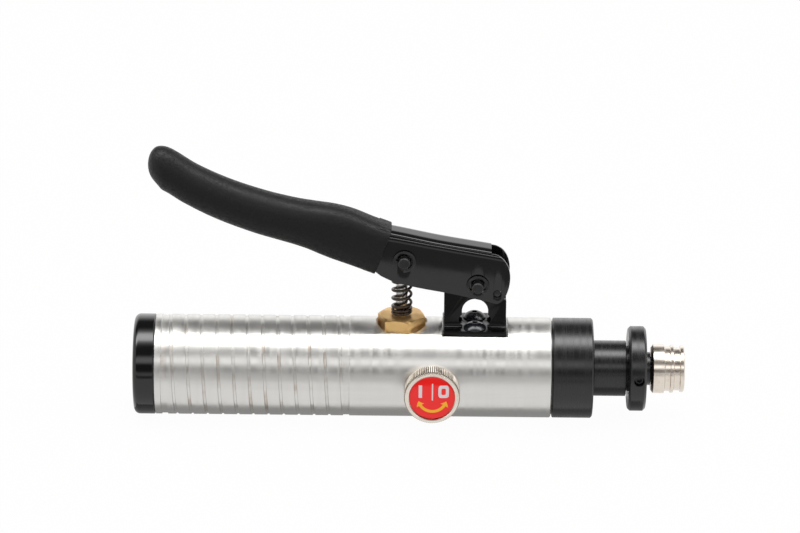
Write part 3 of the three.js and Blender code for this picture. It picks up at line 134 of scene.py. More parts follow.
class Shading:
    """The shader nodes of a material or world, and short ways to add to them."""

    def __init__(self, owner, empty=True):
        self.owner = owner
        owner.use_nodes = True
        self.tree = owner.node_tree
        if empty:
            self.tree.nodes.clear()

    def add(self, kind, **values):
        """A new node, its settings and unlinked inputs given by name."""
        made = self.tree.nodes.new("ShaderNode" + kind)
        for key, value in values.items():
            if hasattr(made, key):
                setattr(made, key, value)
            else:
                made.inputs[key.replace("_", " ")].default_value = value
        return made

    def link(self, value, socket):
        """Feeds a socket from another one, or sets it to a number."""
        if isinstance(value, (int, float)):
            socket.default_value = value
        else:
            self.tree.links.new(value, socket)

    def maths(self, operation, one, other=0):
        made = self.add("Math", operation=operation)
        for socket, value in zip(made.inputs, (one, other)):
            self.link(value, socket)
        return made.outputs[0]

    def own_coordinates(self):
        """The object's own X, Y and Z."""
        where, split = self.add("TexCoord"), self.add("SeparateXYZ")
        self.link(where.outputs["Object"], split.inputs[0])
        return split.outputs

    def radius(self, one, other):
        """The distance from an axis, given the two coordinates across it."""
        squares = [self.maths("MULTIPLY", value, value) for value in (one, other)]
        return self.maths("SQRT", self.maths("ADD", *squares))

    def seen_directly(self):
        """1 for what the camera sees straight, in a polished surface or through glass."""
        rays = self.add("LightPath").outputs
        either = self.maths("MAXIMUM", rays["Is Camera Ray"], rays["Is Glossy Ray"])
        return self.maths("MAXIMUM", either, rays["Is Transmission Ray"])

    def mixed(self, share, one, other):
        mix = self.add("MixShader")
        for out, into in zip((share, one.outputs[0], other.outputs[0]), mix.inputs):
            self.link(out, into)
        return mix

    def finish(self, kind, shader):
        out = self.add("Output" + kind)
        self.link(shader.outputs[0], out.inputs["Surface"])


# ---- Studio ----

STUDIO_MIDDLE = Vector((0.137, 0, 0.02))
TOP_LAMP_POWER = 6
TOP_LAMP_SIZE = 2.0, 0.9
TOP_LAMP_AT = 86, 1.5
ROOM_LIGHT = 0.75
FLOOR_WHITENESS = 0.97
FLOOR_REACH = 3
SKY_RADIUS, SKY_REACH, SKY_STEPS = 2.3, 2.6, 60
SKY_LEVELS = (
    (0, 0.85), (8, 0.12), (18, 0.12), (30, 2.0), (45, 0.15), (61, 0.2), (75, 3.4), (86, 8),
    (97, 4.8), (107, 0.8), (118, 0.12), (134, 0.12), (147, 0.7), (158, 1.35), (180, 1.4),
)


def make_world():
    world = bpy.data.worlds.new("studio")
    scene.world = world
    shading = Shading(world)
    light = shading.add("Background", Color=WHITE, Strength=ROOM_LIGHT)
    white = shading.add("Background", Color=WHITE, Strength=1)
    shading.finish("World", shading.mixed(shading.seen_directly(), light, white))


def sheet(name, points, faces):
    """A flat mesh of the studio's, and its still empty shading."""
    mesh = bpy.data.meshes.new(name)
    mesh.from_pydata(points, [], faces)
    obj = new_object(name, mesh)
    material = bpy.data.materials.new(name)
    mesh.materials.append(material)
    return obj, Shading(material)


def level_sheet(name, left, right, near, far, level):
    corners = [(left, near, level), (right, near, level), (right, far, level), (left, far, level)]
    return sheet(name, corners, [(0, 1, 2, 3)])


def make_floor():
    """A white table top under the body that keeps a faint shadow."""
    sides = -FLOOR_REACH, FLOOR_REACH, -FLOOR_REACH, FLOOR_REACH
    floor, shading = level_sheet("floor", *sides, -BODY_RADIUS - 0.3 * MM)
    paper = shading.add("BsdfDiffuse", Color=(0.9, 0.9, 0.89, 1))
    white = shading.add("Emission", Color=WHITE, Strength=1)
    share = shading.maths("MULTIPLY", shading.seen_directly(), FLOOR_WHITENESS)
    shading.finish("Material", shading.mixed(share, paper, white))


def around(angle, distance):
    """A place off the body's axis: 0 is level on the knob's side, 90 is overhead."""
    turn = math.radians(angle)
    offset = Vector((0, -math.cos(turn), math.sin(turn)))
    return STUDIO_MIDDLE + offset * distance


def top_lamp():
    """A long soft lamp overhead, for matt surfaces."""
    data = bpy.data.lights.new("top_lamp", "AREA")
    data.shape = "RECTANGLE"
    data.size, data.size_y = TOP_LAMP_SIZE
    data.energy = TOP_LAMP_POWER
    lamp = new_object("top_lamp", data)
    lamp.location = around(*TOP_LAMP_AT)
    facing = (STUDIO_MIDDLE - lamp.location).normalized()
    across = Vector((1, 0, 0))
    lamp.rotation_euler = Matrix((across, (-facing).cross(across), -facing)).transposed().to_euler()
    lamp.visible_glossy = False


def reflected_only(obj, shading, strength):
    """Makes a studio card glow, and leaves it to be seen in polished surfaces alone."""
    glow = shading.add("Emission", Color=WHITE)
    shading.link(strength, glow.inputs["Strength"])
    shading.finish("Material", glow)
    for kind in ("camera", "diffuse", "shadow", "transmission", "volume_scatter"):
        setattr(obj, f"visible_{kind}", False)


def sky_strength(shading):
    """SKY_LEVELS as a smooth curve over the angle round the body."""
    own = shading.own_coordinates()
    height = shading.maths("SUBTRACT", own["Z"], STUDIO_MIDDLE.z)
    angle = shading.maths("ARCTAN2", height, shading.maths("MULTIPLY", own["Y"], -1))
    curve = shading.add("FloatCurve")
    points = curve.mapping.curves[0].points
    while len(points) < len(SKY_LEVELS):
        points.new(0.5, 0.5)
    peak = max(bright for _, bright in SKY_LEVELS)
    for point, (at, bright) in zip(points, SKY_LEVELS):
        point.location = (at / 180, bright / peak)
        point.handle_type = "AUTO_CLAMPED"
    curve.mapping.update()
    shading.link(shading.maths("DIVIDE", angle, math.pi), curve.inputs["Value"])
    return shading.maths("MULTIPLY", curve.outputs[0], peak)


def sky_card():
    """A half tunnel round the body: a bright strip overhead between darker ones."""
    points = []
    for k in range(SKY_STEPS + 1):
        rim = around(180 * k / SKY_STEPS, SKY_RADIUS)
        points += [rim + Vector((side * SKY_REACH, 0, 0)) for side in (-1, 1)]
    faces = [(2 * k, 2 * k + 1, 2 * k + 3, 2 * k + 2) for k in range(SKY_STEPS)]
    obj, shading = sheet("sky_card", points, faces)
    reflected_only(obj, shading, sky_strength(shading))


def underside_shade_card():
    """A dim card seen only in polished surfaces: painted shadow standing in for the dark between
    the body and the table.
    """
    reach = BODY_RADIUS * 0.9
    left, right = CAP.low.x - 5 * MM, COLLAR.high.x
    under = level_sheet("underside_shade_card", left, right, -reach, reach, -BODY_RADIUS - 0.1 * MM)
    # Painted shadow: a dim glow of 0.35 where the table under the body lies in shade.
    reflected_only(*under, 0.35)


def front_card():
    """A grey sheet on the table in front, seen in the lever's upright sides alone."""
    sides = -150 * MM, 430 * MM, -340 * MM, -158 * MM
    reflected_only(*level_sheet("front_card", *sides, -BODY_RADIUS - 0.2 * MM), 0.3)


make_world()
make_floor()
top_lamp()
sky_card()
underside_shade_card()
front_card()

# ---- Mesh helpers ----

STRAIGHT = math.radians(172)
LONGEST_EASE = 0.45
SAME_POINT = 2e-7
SAME_SEAM = 2e-6
AXES = {
    "x": lambda a, b, c: (c, a, b),
    "y": lambda a, b, c: (a, c, b),
    "z": lambda a, b, c: (a, b, c),
}


def flatten(obj):
    """Applies an object's modifiers."""
    graph = bpy.context.evaluated_depsgraph_get()
    mesh = bpy.data.meshes.new_from_object(obj.evaluated_get(graph))
    obj.modifiers.clear()
    obj.data = mesh


def mesh_object(name, points, faces):
    """A mesh with shared corners and outward faces."""
    mesh = bpy.data.meshes.new(name)
    mesh.from_pydata([tuple(p) for p in points], [], faces)
    made = bmesh.new()
    made.from_mesh(mesh)
    bmesh.ops.remove_doubles(made, verts=made.verts, dist=SAME_POINT)
    bmesh.ops.recalc_face_normals(made, faces=made.faces)
    made.to_mesh(mesh)
    made.free()
    return new_object(name, mesh)


def grid_faces(rows, columns, closed=False):
    """Quads between rows of points, each row closing on itself if asked."""
    faces = []
    for row in range(rows - 1):
        here, there = row * columns, (row + 1) * columns
        for column in range(columns if closed else columns - 1):
            after = (column + 1) % columns
            faces.append((here + column, here + after, there + after, there + column))
    return faces


def tube_faces(rows, columns):
    """The faces of a closed tube of points, its two ends filled."""
    ends = [tuple(range(columns)), tuple(range((rows - 1) * columns, rows * columns))]
    return grid_faces(rows, columns, closed=True) + ends


def eased(points, radius, steps=4, closed=False):
    """A polyline with its corners rounded to a radius, or less where an edge is short."""
    points = [Vector(p) for p in points]
    count = len(points)
    out = []
    for i, here in enumerate(points):
        back, ahead = points[i - 1] - here, points[(i + 1) % count] - here
        angle = back.angle(ahead, 0)
        is_end = not closed and i in (0, count - 1)
        if is_end or min(back.length, ahead.length) < 1e-9 or angle > STRAIGHT:
            out.append(here)
            continue
        longest = min(back.length * LONGEST_EASE, ahead.length * LONGEST_EASE)
        reach = min(radius / math.tan(angle / 2), longest)
        start, end = here + back.normalized() * reach, here + ahead.normalized() * reach
        for k in range(steps + 1):
            t = k / steps
            out.append(start * (1 - t) ** 2 + here * 2 * t * (1 - t) + end * t**2)
    return [tuple(p) for p in out]


def millimetres(start, *points):
    """Profile points given in millimetres, the first coordinate counted from a start."""
    return [(start + along * MM, radius * MM) for along, radius in points]


def turned(name, axis, profile, middle=(0, 0), segments=160, ease=0.25 * MM):
    """A turned form: profile is (along, radius) points, middle the two other coordinates."""
    line = eased(profile, ease, closed=profile[0] == profile[-1]) if ease else profile
    points = []
    for along, radius in line:
        for k in range(segments):
            turn = 2 * math.pi * k / segments
            a, b = radius * math.cos(turn) + middle[0], radius * math.sin(turn) + middle[1]
            points.append(AXES[axis](a, b, along))
    return mesh_object(name, points, grid_faces(len(line), segments, closed=True))


def rod(axis, radius, low, high, middle=(0, 0), segments=64, name="rod", ease=0):
    profile = [(low, 0), (low, radius), (high, radius), (high, 0)]
    return turned(name, axis, profile, middle, segments, ease)


def prism(name, axis, outline, low, high):
    """An outline in the plane across an axis, made thick along it."""
    count = len(outline)
    points = [AXES[axis](a, b, end) for end in (low, high) for a, b in outline]
    faces = [tuple(range(count)), tuple(range(count, 2 * count))]
    faces += [(k, (k + 1) % count, count + (k + 1) % count, count + k) for k in range(count)]
    return mesh_object(name, points, faces)


def rectangle(low, high):
    (x0, y0), (x1, y1) = low[:2], high[:2]
    return [(x0, y0), (x1, y0), (x1, y1), (x0, y1)]


def brick(name, low, high):
    return prism(name, "z", rectangle(low, high), low[2], high[2])


def xz(point):
    return (point.x, point.z)


def arc(middle, radius, start, end, steps):
    """Points on an arc, angles in degrees."""
    angles = np.radians(np.linspace(start, end, steps + 1))
    return [(middle[0] + radius * math.cos(a), middle[1] + radius * math.sin(a)) for a in angles]


def hexagon(middle, flats, facing):
    """A hexagon, one flat's outward normal at an angle in degrees."""
    return arc(middle, flats / 2 / math.cos(math.pi / 6), facing + 30, facing + 330, 5)


def combine(obj, *others, operation="DIFFERENCE"):
    """Cuts other objects out of obj, or joins them to it, and removes them."""
    for other in others:
        change = obj.modifiers.new("combine", "BOOLEAN")
        change.operation = operation
        change.solver = "EXACT"
        change.object = other
    flatten(obj)
    for other in others:
        bpy.data.objects.remove(other)


def soften(obj, width, segments=2, angle=32):
    """Rounds an object's sharp edges."""
    bevel = obj.modifiers.new("soften", "BEVEL")
    bevel.width = width
    bevel.segments = segments
    bevel.limit_method = "ANGLE"
    bevel.angle_limit = math.radians(angle)
    bevel.miter_outer = "MITER_ARC"
    flatten(obj)
    return obj


def join(obj, *others):
    """Merges the meshes of other objects into obj."""
    made = bmesh.new()
    for part in (obj, *others):
        made.from_mesh(part.data)
    bmesh.ops.remove_doubles(made, verts=made.verts, dist=SAME_SEAM)
    made.to_mesh(obj.data)
    made.free()
    for other in others:
        bpy.data.objects.remove(other)
    return obj


def mirror_twin(obj, name):
    """A copy on the other side of the XZ plane."""
    mesh = obj.data.copy()
    mesh.transform(Matrix.Scale(-1, 4, (0, 1, 0)))
    mesh.flip_normals()
    return new_object(name, mesh)


def dress(obj, body, look, *nodes, slot=None, sharp=34):
    """Gives a piece its finish and the body it rides on, and hides the nodes it stands for."""
    slot = slot or look
    obj.data.materials.clear()
    obj.data.materials.append(LOOKS[look])
    obj.data.polygons.foreach_set("use_smooth", [True] * len(obj.data.polygons))
    obj.data.set_sharp_from_angle(angle=math.radians(sharp))
    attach(obj, body)
    if nodes:
        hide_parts(*nodes)


# ---- Materials ----


class Look(Shading):
    """A procedural material built around one Principled shader."""

    def __init__(self, name, colour, rough, metal=0.0, specular=0.5):
        super().__init__(bpy.data.materials.new(name), empty=False)
        self.shader = self.tree.nodes["Principled BSDF"].inputs
        self.colour, self.rough, self.normal = (*colour, 1), rough, None
        self.shader["Base Color"].default_value = self.colour
        self.shader["Roughness"].default_value = rough
        self.shader["Metallic"].default_value = metal
        self.shader["Specular IOR Level"].default_value = specular

    def noise(self, scale, detail=3, stretch=(1, 1, 1), roughness=0.5):
        """Noise over the object's own coordinates, scale in cells per metre."""
        where, mapping = self.add("TexCoord"), self.add("Mapping", Scale=stretch)
        self.link(where.outputs["Object"], mapping.inputs["Vector"])
        made = self.add("TexNoise", Scale=scale, Detail=detail, Roughness=roughness)
        self.link(mapping.outputs[0], made.inputs["Vector"])
        return made.outputs["Fac"]

    def ranged(self, value, low, high, out_low, out_high):
        ends = {"From_Min": low, "From_Max": high, "To_Min": out_low, "To_Max": out_high}
        made = self.add("MapRange", **ends)
        self.link(value, made.inputs["Value"])
        return made.outputs["Result"]

    def roughened(self, value, spread):
        """Roughness wandering about its middle value."""
        low, high = self.rough - spread, self.rough + spread
        self.link(self.ranged(value, 0.3, 0.7, low, high), self.shader["Roughness"])

    def bumped(self, value, height, strength=1.0):
        bump = self.add("Bump", Strength=strength, Distance=height)
        self.link(value, bump.inputs["Height"])
        if self.normal is not None:
            self.link(self.normal, bump.inputs["Normal"])
        self.normal = bump.outputs["Normal"]
        self.link(self.normal, self.shader["Normal"])

    def tinted(self, factor, colour):
        """Another colour laid over the first where factor is high."""
        mix = self.add("Mix", data_type="RGBA")
        base = self.shader["Base Color"]
        if base.is_linked:
            self.link(base.links[0].from_socket, mix.inputs["A"])
        else:
            mix.inputs["A"].default_value = self.colour
        mix.inputs["B"].default_value = (*colour, 1)
        self.link(factor, mix.inputs["Factor"])
        self.link(mix.outputs["Result"], base)
        return self

    def patched(self, noise, low, high, share, colour):
        """Patches of another colour, at most a share of it, where the noise is high."""
        return self.tinted(self.ranged(noise, low, high, 0, share), colour)


def turned_metal(name, colour, rough, metal, pitch, height):
    """Fine tool marks round the X axis, and a little wandering gloss."""
    look = Look(name, colour, rough, metal)
    look.bumped(look.noise(1, 4, (pitch, 12, 12), 0.7), height, 0.5)
    look.roughened(look.noise(1, 3, (pitch / 3, 30, 30)), rough * 0.18)
    return look


def plain(name, colour, rough, metal=0.0, grain=900, height=0.006 * MM, specular=0.5):
    """An even finish with a light grain and wandering gloss."""
    look = Look(name, colour, rough, metal, specular)
    look.bumped(look.noise(grain, 3), height, 0.5)
    look.roughened(look.noise(160, 4), rough * 0.25)
    return look


def body_steel():
    """Turned steel, streaked along its length and stained in its grooves."""
    look = turned_metal("body_steel", (0.67, 0.66, 0.635), 0.34, 1.0, 1700, 0.0008 * MM)
    look.patched(look.noise(160, 3, (0.06, 1, 1)), 0.5, 0.85, 0.3, (0.47, 0.46, 0.44))
    own = look.own_coordinates()
    radius = look.radius(own["Y"], own["Z"])
    deep = look.ranged(radius, BODY_RADIUS - 0.45 * MM, BODY_RADIUS - 0.2 * MM, 1, 0)
    patches = look.ranged(look.noise(70, 4), 0.5, 0.68, 0, 0.55)
    return look.tinted(look.maths("MULTIPLY", deep, patches), (0.33, 0.22, 0.13))


def brass_look():
    look = plain("brass", (0.74, 0.48, 0.2), 0.42, 1.0, 500, 0.004 * MM)
    return look.patched(look.noise(220, 4), 0.5, 0.75, 0.4, (0.5, 0.3, 0.12))


def spring_look():
    look = plain("spring_steel", (0.06, 0.045, 0.035), 0.3, 0.9, 1500)
    return look.patched(look.noise(500, 3), 0.5, 0.8, 0.6, (0.13, 0.1, 0.07))


def grip_look():
    """Moulded foam rubber with a fine pebbled skin."""
    look = Look("grip_rubber", (0.0045, 0.0045, 0.0047), 0.5, specular=0.25)
    look.bumped(look.noise(1500, 4, roughness=0.7), 0.16 * MM, 0.55)
    look.bumped(look.noise(160, 3), 0.2 * MM, 0.25)
    look.roughened(look.noise(800, 4), 0.16)
    return look.patched(look.noise(1700, 3), 0.55, 0.75, 0.5, (0.015, 0.015, 0.0155))


def nickel_look(name):
    look = plain(name, (0.74, 0.67, 0.59), 0.22, 1.0, 700, 0.002 * MM)
    return look.patched(look.noise(260, 4), 0.5, 0.75, 0.35, (0.55, 0.46, 0.37))


KNURLS = 92
KNURL_DEPTH = 0.42 * MM
KNOB_RADIUS = KNOB.size.x / 2
KNOB_BEZEL = KNOB_RADIUS - 0.75 * MM


def knurl_painted_shade_look():
    """The knob's nickel, with painted shade darkening the bottom of its knurls."""
    look = nickel_look("knurled_nickel")
    own = look.own_coordinates()
    radius = look.radius(look.maths("SUBTRACT", own["X"], KNOB_X), own["Z"])
    root = KNOB_RADIUS - KNURL_DEPTH
    deep = look.ranged(radius, root + 0.12 * MM, KNOB_RADIUS - 0.06 * MM, 0.92, 0)
    knurled = look.ranged(radius, root - 0.15 * MM, root - 0.02 * MM, 0, 1)
    # Painted shade: the knurl roots are darkened in the colour, standing in for the shade between
    # the teeth.
    return look.tinted(look.maths("MULTIPLY", deep, knurled), (0.09, 0.075, 0.06))


# Colour, roughness, metal, grain, the grain's height and the specular level.
EVEN_LOOKS = {
    "ground_steel": ((0.62, 0.61, 0.6), 0.22, 1.0, 1200),
    "black_oxide": ((0.008, 0.008, 0.0085), 0.27),
    "screw_oxide": ((0.008, 0.009, 0.012), 0.24),
    "black_paint": ((0.004, 0.004, 0.0038), 0.12, 0, 420, 0.004 * MM, 0.46),
    "bracket_paint": ((0.004, 0.004, 0.0038), 0.16, 0, 420, 0.004 * MM, 0.2),
    "black_plastic": ((0.002,) * 3, 0.1, 0, 300, 0.002 * MM),
    "rubber": ((0.02,) * 3, 0.7, 0, 800, 0.03 * MM),
    "red_label": ((0.95, 0.006, 0.004), 0.09, 0, 200, 0.001 * MM),
    "label_white": ((0.78, 0.7, 0.73), 0.12, 0, 200),
    "label_orange": ((0.97, 0.47, 0.004), 0.12, 0, 200),
    "filter_mesh": ((0.33, 0.28, 0.19), 0.5, 0.8),
}
LOOKS = {name: plain(name, *row) for name, row in EVEN_LOOKS.items()}
LOOKS |= {
    "turned_steel": body_steel(),
    "spring_steel": spring_look(),
    "nickel": nickel_look("nickel"),
    "knurled_nickel": knurl_painted_shade_look(),
    "brass": brass_look(),
    "turned_oxide": turned_metal("turned_oxide", (0.007,) * 3, 0.27, 0.0, 2200, 0.002 * MM),
    "black_grip": grip_look(),
}
LOOKS = {name: look.owner for name, look in LOOKS.items()}

# ---- Cylinder body ----

GROOVE_DEPTH = 0.5 * MM
RING_GROOVES = (13.9 * MM, 104.4 * MM)
RING_GROOVE_WIDTH = 3.2 * MM
SPIRAL_PITCH = 7.6 * MM
SPIRAL_WIDTH = 1.6 * MM
SPIRAL_START = 1.2 * MM
SHELL_SPLIT = 112 * MM
BODY_SEGMENTS = 240
SPOTFACE_RADIUS = 12.8 * MM
NUT_HEX_HEIGHT = 6 * MM
NUT_SEAT = NUT.high.z - NUT_HEX_HEIGHT - 0.1 * MM


def groove_cross_section():
    """One pitch of the spiral groove: (offset, depth) points with eased corners."""
    half, slope = SPIRAL_WIDTH / 2, 0.22 * MM
    line = [(-SPIRAL_PITCH / 2, 0), (-half, 0), (-half + slope, GROOVE_DEPTH)]
    line += [(half - slope, GROOVE_DEPTH), (half, 0), (SPIRAL_PITCH / 2, 0)]
    return eased(line, 0.14 * MM, 3)


def shell_ends(first, last):
    """The hand-hold's profile behind the spiral and ahead of it, each with its ring groove."""
    floor, lip, ease = BODY_RADIUS - GROOVE_DEPTH, 0.1 * MM, 0.25 * MM
    back, front = RING_GROOVES[0], last + RING_GROOVE_WIDTH
    rear = [(BODY.low.x, 0), (BODY.low.x, BODY_RADIUS), (back, BODY_RADIUS)]
    rear += [(back + lip, floor), (first, floor)]
    ahead = [(last, floor), (front - lip, floor), (front, BODY_RADIUS), (SHELL_SPLIT, BODY_RADIUS)]
    return eased(rear, ease), eased(ahead, ease)


def spiral_shell():
    """The hand-hold end of the body: ring grooves with a spiral groove between them."""
    section = groove_cross_section()
    offsets, depths = (np.array([p[i] for p in section]) for i in (0, 1))
    first, last = RING_GROOVES[0] + RING_GROOVE_WIDTH, RING_GROOVES[1]
    turns = int((last - first) / SPIRAL_PITCH) + 3
    rear, front = shell_ends(first, last)
    columns = []
    for k in range(BODY_SEGMENTS + 1):
        share = k / BODY_SEGMENTS
        column = list(rear)
        phase = first + SPIRAL_START + share * SPIRAL_PITCH
        for turn in range(-2, turns):
            for offset in offsets[:-1]:
                x = min(max(phase + turn * SPIRAL_PITCH + offset, first), last)
                along = (x - phase + SPIRAL_PITCH / 2) % SPIRAL_PITCH - SPIRAL_PITCH / 2
                column.append((x, BODY_RADIUS - float(np.interp(along, offsets, depths))))
        column += front
        turn = 2 * math.pi * share
        columns.append([(x, -r * math.sin(turn), r * math.cos(turn)) for x, r in column])
    points = [point for column in columns for point in column]
    return mesh_object("body_shell", points, grid_faces(len(columns), len(columns[0])))


def body_front_shell():
    """The valve-block end of the body, with the seats cut into its top."""
    end, edge = BODY.high.x, 0.5 * MM
    profile = [(SHELL_SPLIT, 0), (SHELL_SPLIT, BODY_RADIUS), (end - edge, BODY_RADIUS)]
    profile += [(end, BODY_RADIUS - edge), (end, 0)]
    shell = turned("body_front", "x", profile, segments=BODY_SEGMENTS, ease=0)
    flat_start, flat_end = BRACKET.low.x - 0.4 * MM, BRACKET.high.x + 0.6 * MM
    above = BODY_RADIUS + 4 * MM
    plug = PLACE["outlet_plug"]
    combine(
        shell,
        brick("cut_flat", (flat_start, -above, FLAT_Z), (flat_end, above, above)),
        rod("z", SPOTFACE_RADIUS, NUT_SEAT, above, PUMP_AT, 128),
        rod("z", plug.size.x / 2 + 0.25 * MM, -above, plug.high.z, PUMP_AT),
    )
    made = bmesh.new()
    made.from_mesh(shell.data)
    seam = [f for f in made.faces if all(v.co.x < SHELL_SPLIT + 1e-6 for v in f.verts)]
    bmesh.ops.delete(made, geom=seam, context="FACES")
    made.to_mesh(shell.data)
    made.free()
    return soften(shell, 0.22 * MM)


def cylinder_body():
    shell = join(spiral_shell(), body_front_shell())
    dress(shell, "housing", "turned_steel", "cylinder_body")


cylinder_body()

# ---- Rear cap ----

CAP_EDGE = 3 * MM
CAP_GROOVE = 0.35 * MM


def rear_cap():
    """The end cap, its edge well rounded, with a fine groove between it and the body."""
    radius, inner = CAP.size.y / 2, CAP.size.y / 2 - 2 * MM
    rim, end = BODY.low.x - CAP_GROOVE, BODY.low.x + 0.1 * MM
    profile = [(CAP.low.x, 0)]
    for a in np.linspace(math.pi / 2, 0, 12):
        along = CAP.low.x + CAP_EDGE * (1 - math.sin(a))
        profile.append((along, radius - CAP_EDGE * (1 - math.cos(a))))
    profile += [(rim - CAP_GROOVE, radius), (rim, radius - CAP_GROOVE)]
    profile += [(rim, inner), (end, inner), (end, 0)]
    cap = turned("rear_end_cap", "x", profile, segments=200, ease=0)
    dress(cap, "housing", "black_plastic", "rear_cap")


rear_cap()

# ---- Front head, collar, rod and nose ----

HEAD_START = BODY.high.x + 0.8 * MM
HEAD_RING = 20.0 * MM
HEAD_RIM = 0.8 * MM
NECK_RADIUS = 13.9 * MM
SPIGOT_RADIUS = 11.2 * MM
ROD_BORE = 8.6 * MM
COLLAR_CHAMFER = 1.2 * MM
SET_SCREW = PLACE["collar_set_screw"]
SET_SCREW_TURN = Matrix.Rotation(math.radians(-5.4), 4, "X")


def front_head():
    radius, root = HEAD.size.y / 2, HEAD_START - 1.5 * MM
    inset, edge, ring_end = radius - 1.6 * MM, 0.4 * MM, HEAD_START + HEAD_RING
    neck_end = COLLAR.low.x - 0.3 * MM
    profile = [
        (root, ROD_BORE), (root, inset), (HEAD_START, inset), (HEAD_START, radius - edge),
        (HEAD_START + edge, radius), (ring_end - HEAD_RIM, radius), (ring_end, radius - HEAD_RIM),
        (ring_end, NECK_RADIUS + HEAD_RIM), (ring_end + HEAD_RIM, NECK_RADIUS),
        (neck_end, NECK_RADIUS), (neck_end, SPIGOT_RADIUS), (HEAD.high.x, SPIGOT_RADIUS),
        (HEAD.high.x, ROD_BORE), (root, ROD_BORE),
    ]
    head = turned("front_head_ring", "x", profile, segments=200, ease=0.3 * MM)
    dress(head, "housing", "turned_oxide", "front_head", slot="black_oxide")


def guide_collar():
    radius, low, high = COLLAR.size.y / 2, COLLAR.low.x + 0.8 * MM, COLLAR.high.x
    chamfer, seat, bore = COLLAR_CHAMFER, HEAD.high.x + 0.3 * MM, 11.5 * MM
    profile = [
        (low, bore), (low, radius - chamfer), (low + chamfer, radius), (high - chamfer, radius),
        (high, radius - chamfer), (high, 9.6 * MM), (high - 0.8 * MM, ROD_BORE),
        (seat, ROD_BORE), (seat, bore), (low, bore),
    ]
    collar = turned("guide_collar_ring", "x", profile, segments=200, ease=0.7 * MM)
    at = xz(SET_SCREW.mid)
    hole = rod("y", 2.6 * MM, -radius - MM, -10 * MM, at)
    hole.data.transform(SET_SCREW_TURN)
    combine(collar, hole)
    soften(collar, 0.2 * MM, angle=50)
    dress(collar, "housing", "turned_oxide", "guide_collar", slot="black_oxide")


def collar_screw():
    at = xz(SET_SCREW.mid)
    root, end = SET_SCREW.high.y, SET_SCREW.low.y + 0.7 * MM
    grub = rod("y", 2.3 * MM, root, end, at, name="collar_grub_screw", ease=0.35 * MM)
    combine(grub, prism("cut_socket", "y", hexagon(at, 2.5 * MM, 0), end - MM, end + 2 * MM))
    grub.data.transform(SET_SCREW_TURN)
    dress(grub, "housing", "black_oxide", "collar_set_screw")


def ram_rod():
    """The rod with a thinner spigot at each end, for the piston and for the nose."""
    box = PLACE["ram_rod"]
    start, end = PLACE["ram_piston"].high.x + 0.05 * MM, NOSE.low.x - 0.3 * MM
    radius = box.size.y / 2
    profile = [*millimetres(box.low.x, (0, 0), (0, 5)), (start, 5 * MM), (start, radius)]
    profile += [(end, radius), (end, 6 * MM), *millimetres(box.high.x, (0, 6), (0, 0))]
    piece = turned("ram_rod_shaft", "x", profile, segments=128, ease=0.2 * MM)
    dress(piece, "ram", "turned_oxide", "ram_rod", slot="black_oxide")


def nose_tip():
    """The blunt nose: three rings with two grooves between them, bored for the rod."""
    profile = millimetres(
        NOSE.low.x,
        (10.3, 0), (10.3, 6.3), (0, 6.3), (0, 10.6), (1.1, 12.3), (6.6, 12.3), (6.9, 11.2),
        (9.5, 11.2), (9.7, 12.0), (11.2, 12.0), (11.5, 10.8), (14.3, 10.8), (14.6, 11.6),
    )
    profile += millimetres(NOSE.high.x, (-0.5, 11.6), (0, 11.0), (0, 0))
    nose = turned("nose_tip_body", "x", profile, ease=0.22 * MM)
    dress(nose, "ram", "nickel", "nose_tip")


front_head()
guide_collar()
collar_screw()
ram_rod()
nose_tip()

# ---- Gland nut, plunger and springs ----

NUT_FLATS = 21 * MM
NUT_FACING = -90 - 12.4
PLUNGER_STEM_RADIUS = 3.1 * MM


def gland_nut():
    low, high = NUT.high.z - NUT_HEX_HEIGHT, NUT.high.z
    nut = prism("gland_nut_hex", "z", hexagon(PUMP_AT, NUT_FLATS, NUT_FACING), low, high)
    dome = millimetres(low, (-1, 0), (-1, 11.6), (0, 12.0), (0.3, 12.4))
    dome += millimetres(high, (-1.1, 12.4), (-0.1, 10.5), (0, 10.2), (0, 0))
    combine(nut, turned("chamfer", "z", dome, PUMP_AT, 128, 0), operation="INTERSECT")
    skirt = rod("z", 10.1 * MM, FLAT_Z, low + 0.5 * MM, PUMP_AT, 128)
    stem = rod("z", 7.9 * MM, NUT.low.z, FLAT_Z + 0.1 * MM, PUMP_AT, 96)
    combine(nut, skirt, stem, operation="UNION")
    combine(nut, rod("z", 3.3 * MM, NUT.low.z - MM, high + MM, PUMP_AT, 96))
    soften(nut, 0.2 * MM, 3)
    dress(nut, "housing", "brass", "gland_nut")


def plunger():
    """A ground stem with a flat head, slotted for the pin."""
    box = PLACE["pump_plunger"]
    head_low = PLUNGER_PIN.z - 6.5 * MM
    half_x, half_y = box.size.x / 2, box.size.y / 2
    corners = (PUMP_X - half_x, -half_y, head_low), (PUMP_X + half_x, half_y, box.high.z)
    head = brick("pump_plunger_rod", *corners)
    left, right, radius = PUMP_X - 1.1 * MM, PUMP_X + 1.0 * MM, 3.3 * MM
    slot = arc((left, PLUNGER_PIN.z), radius, 90, 270, 16)
    slot += arc((right, PLUNGER_PIN.z), radius, -90, 90, 16)
    combine(head, prism("cut_slot", "y", slot, -half_y - MM, half_y + MM))
    stem = rod("z", PLUNGER_STEM_RADIUS, box.low.z, head_low + MM, PUMP_AT)
    combine(head, stem, operation="UNION")
    soften(head, 0.35 * MM)
    dress(head, "plunger", "ground_steel", "pump_plunger")


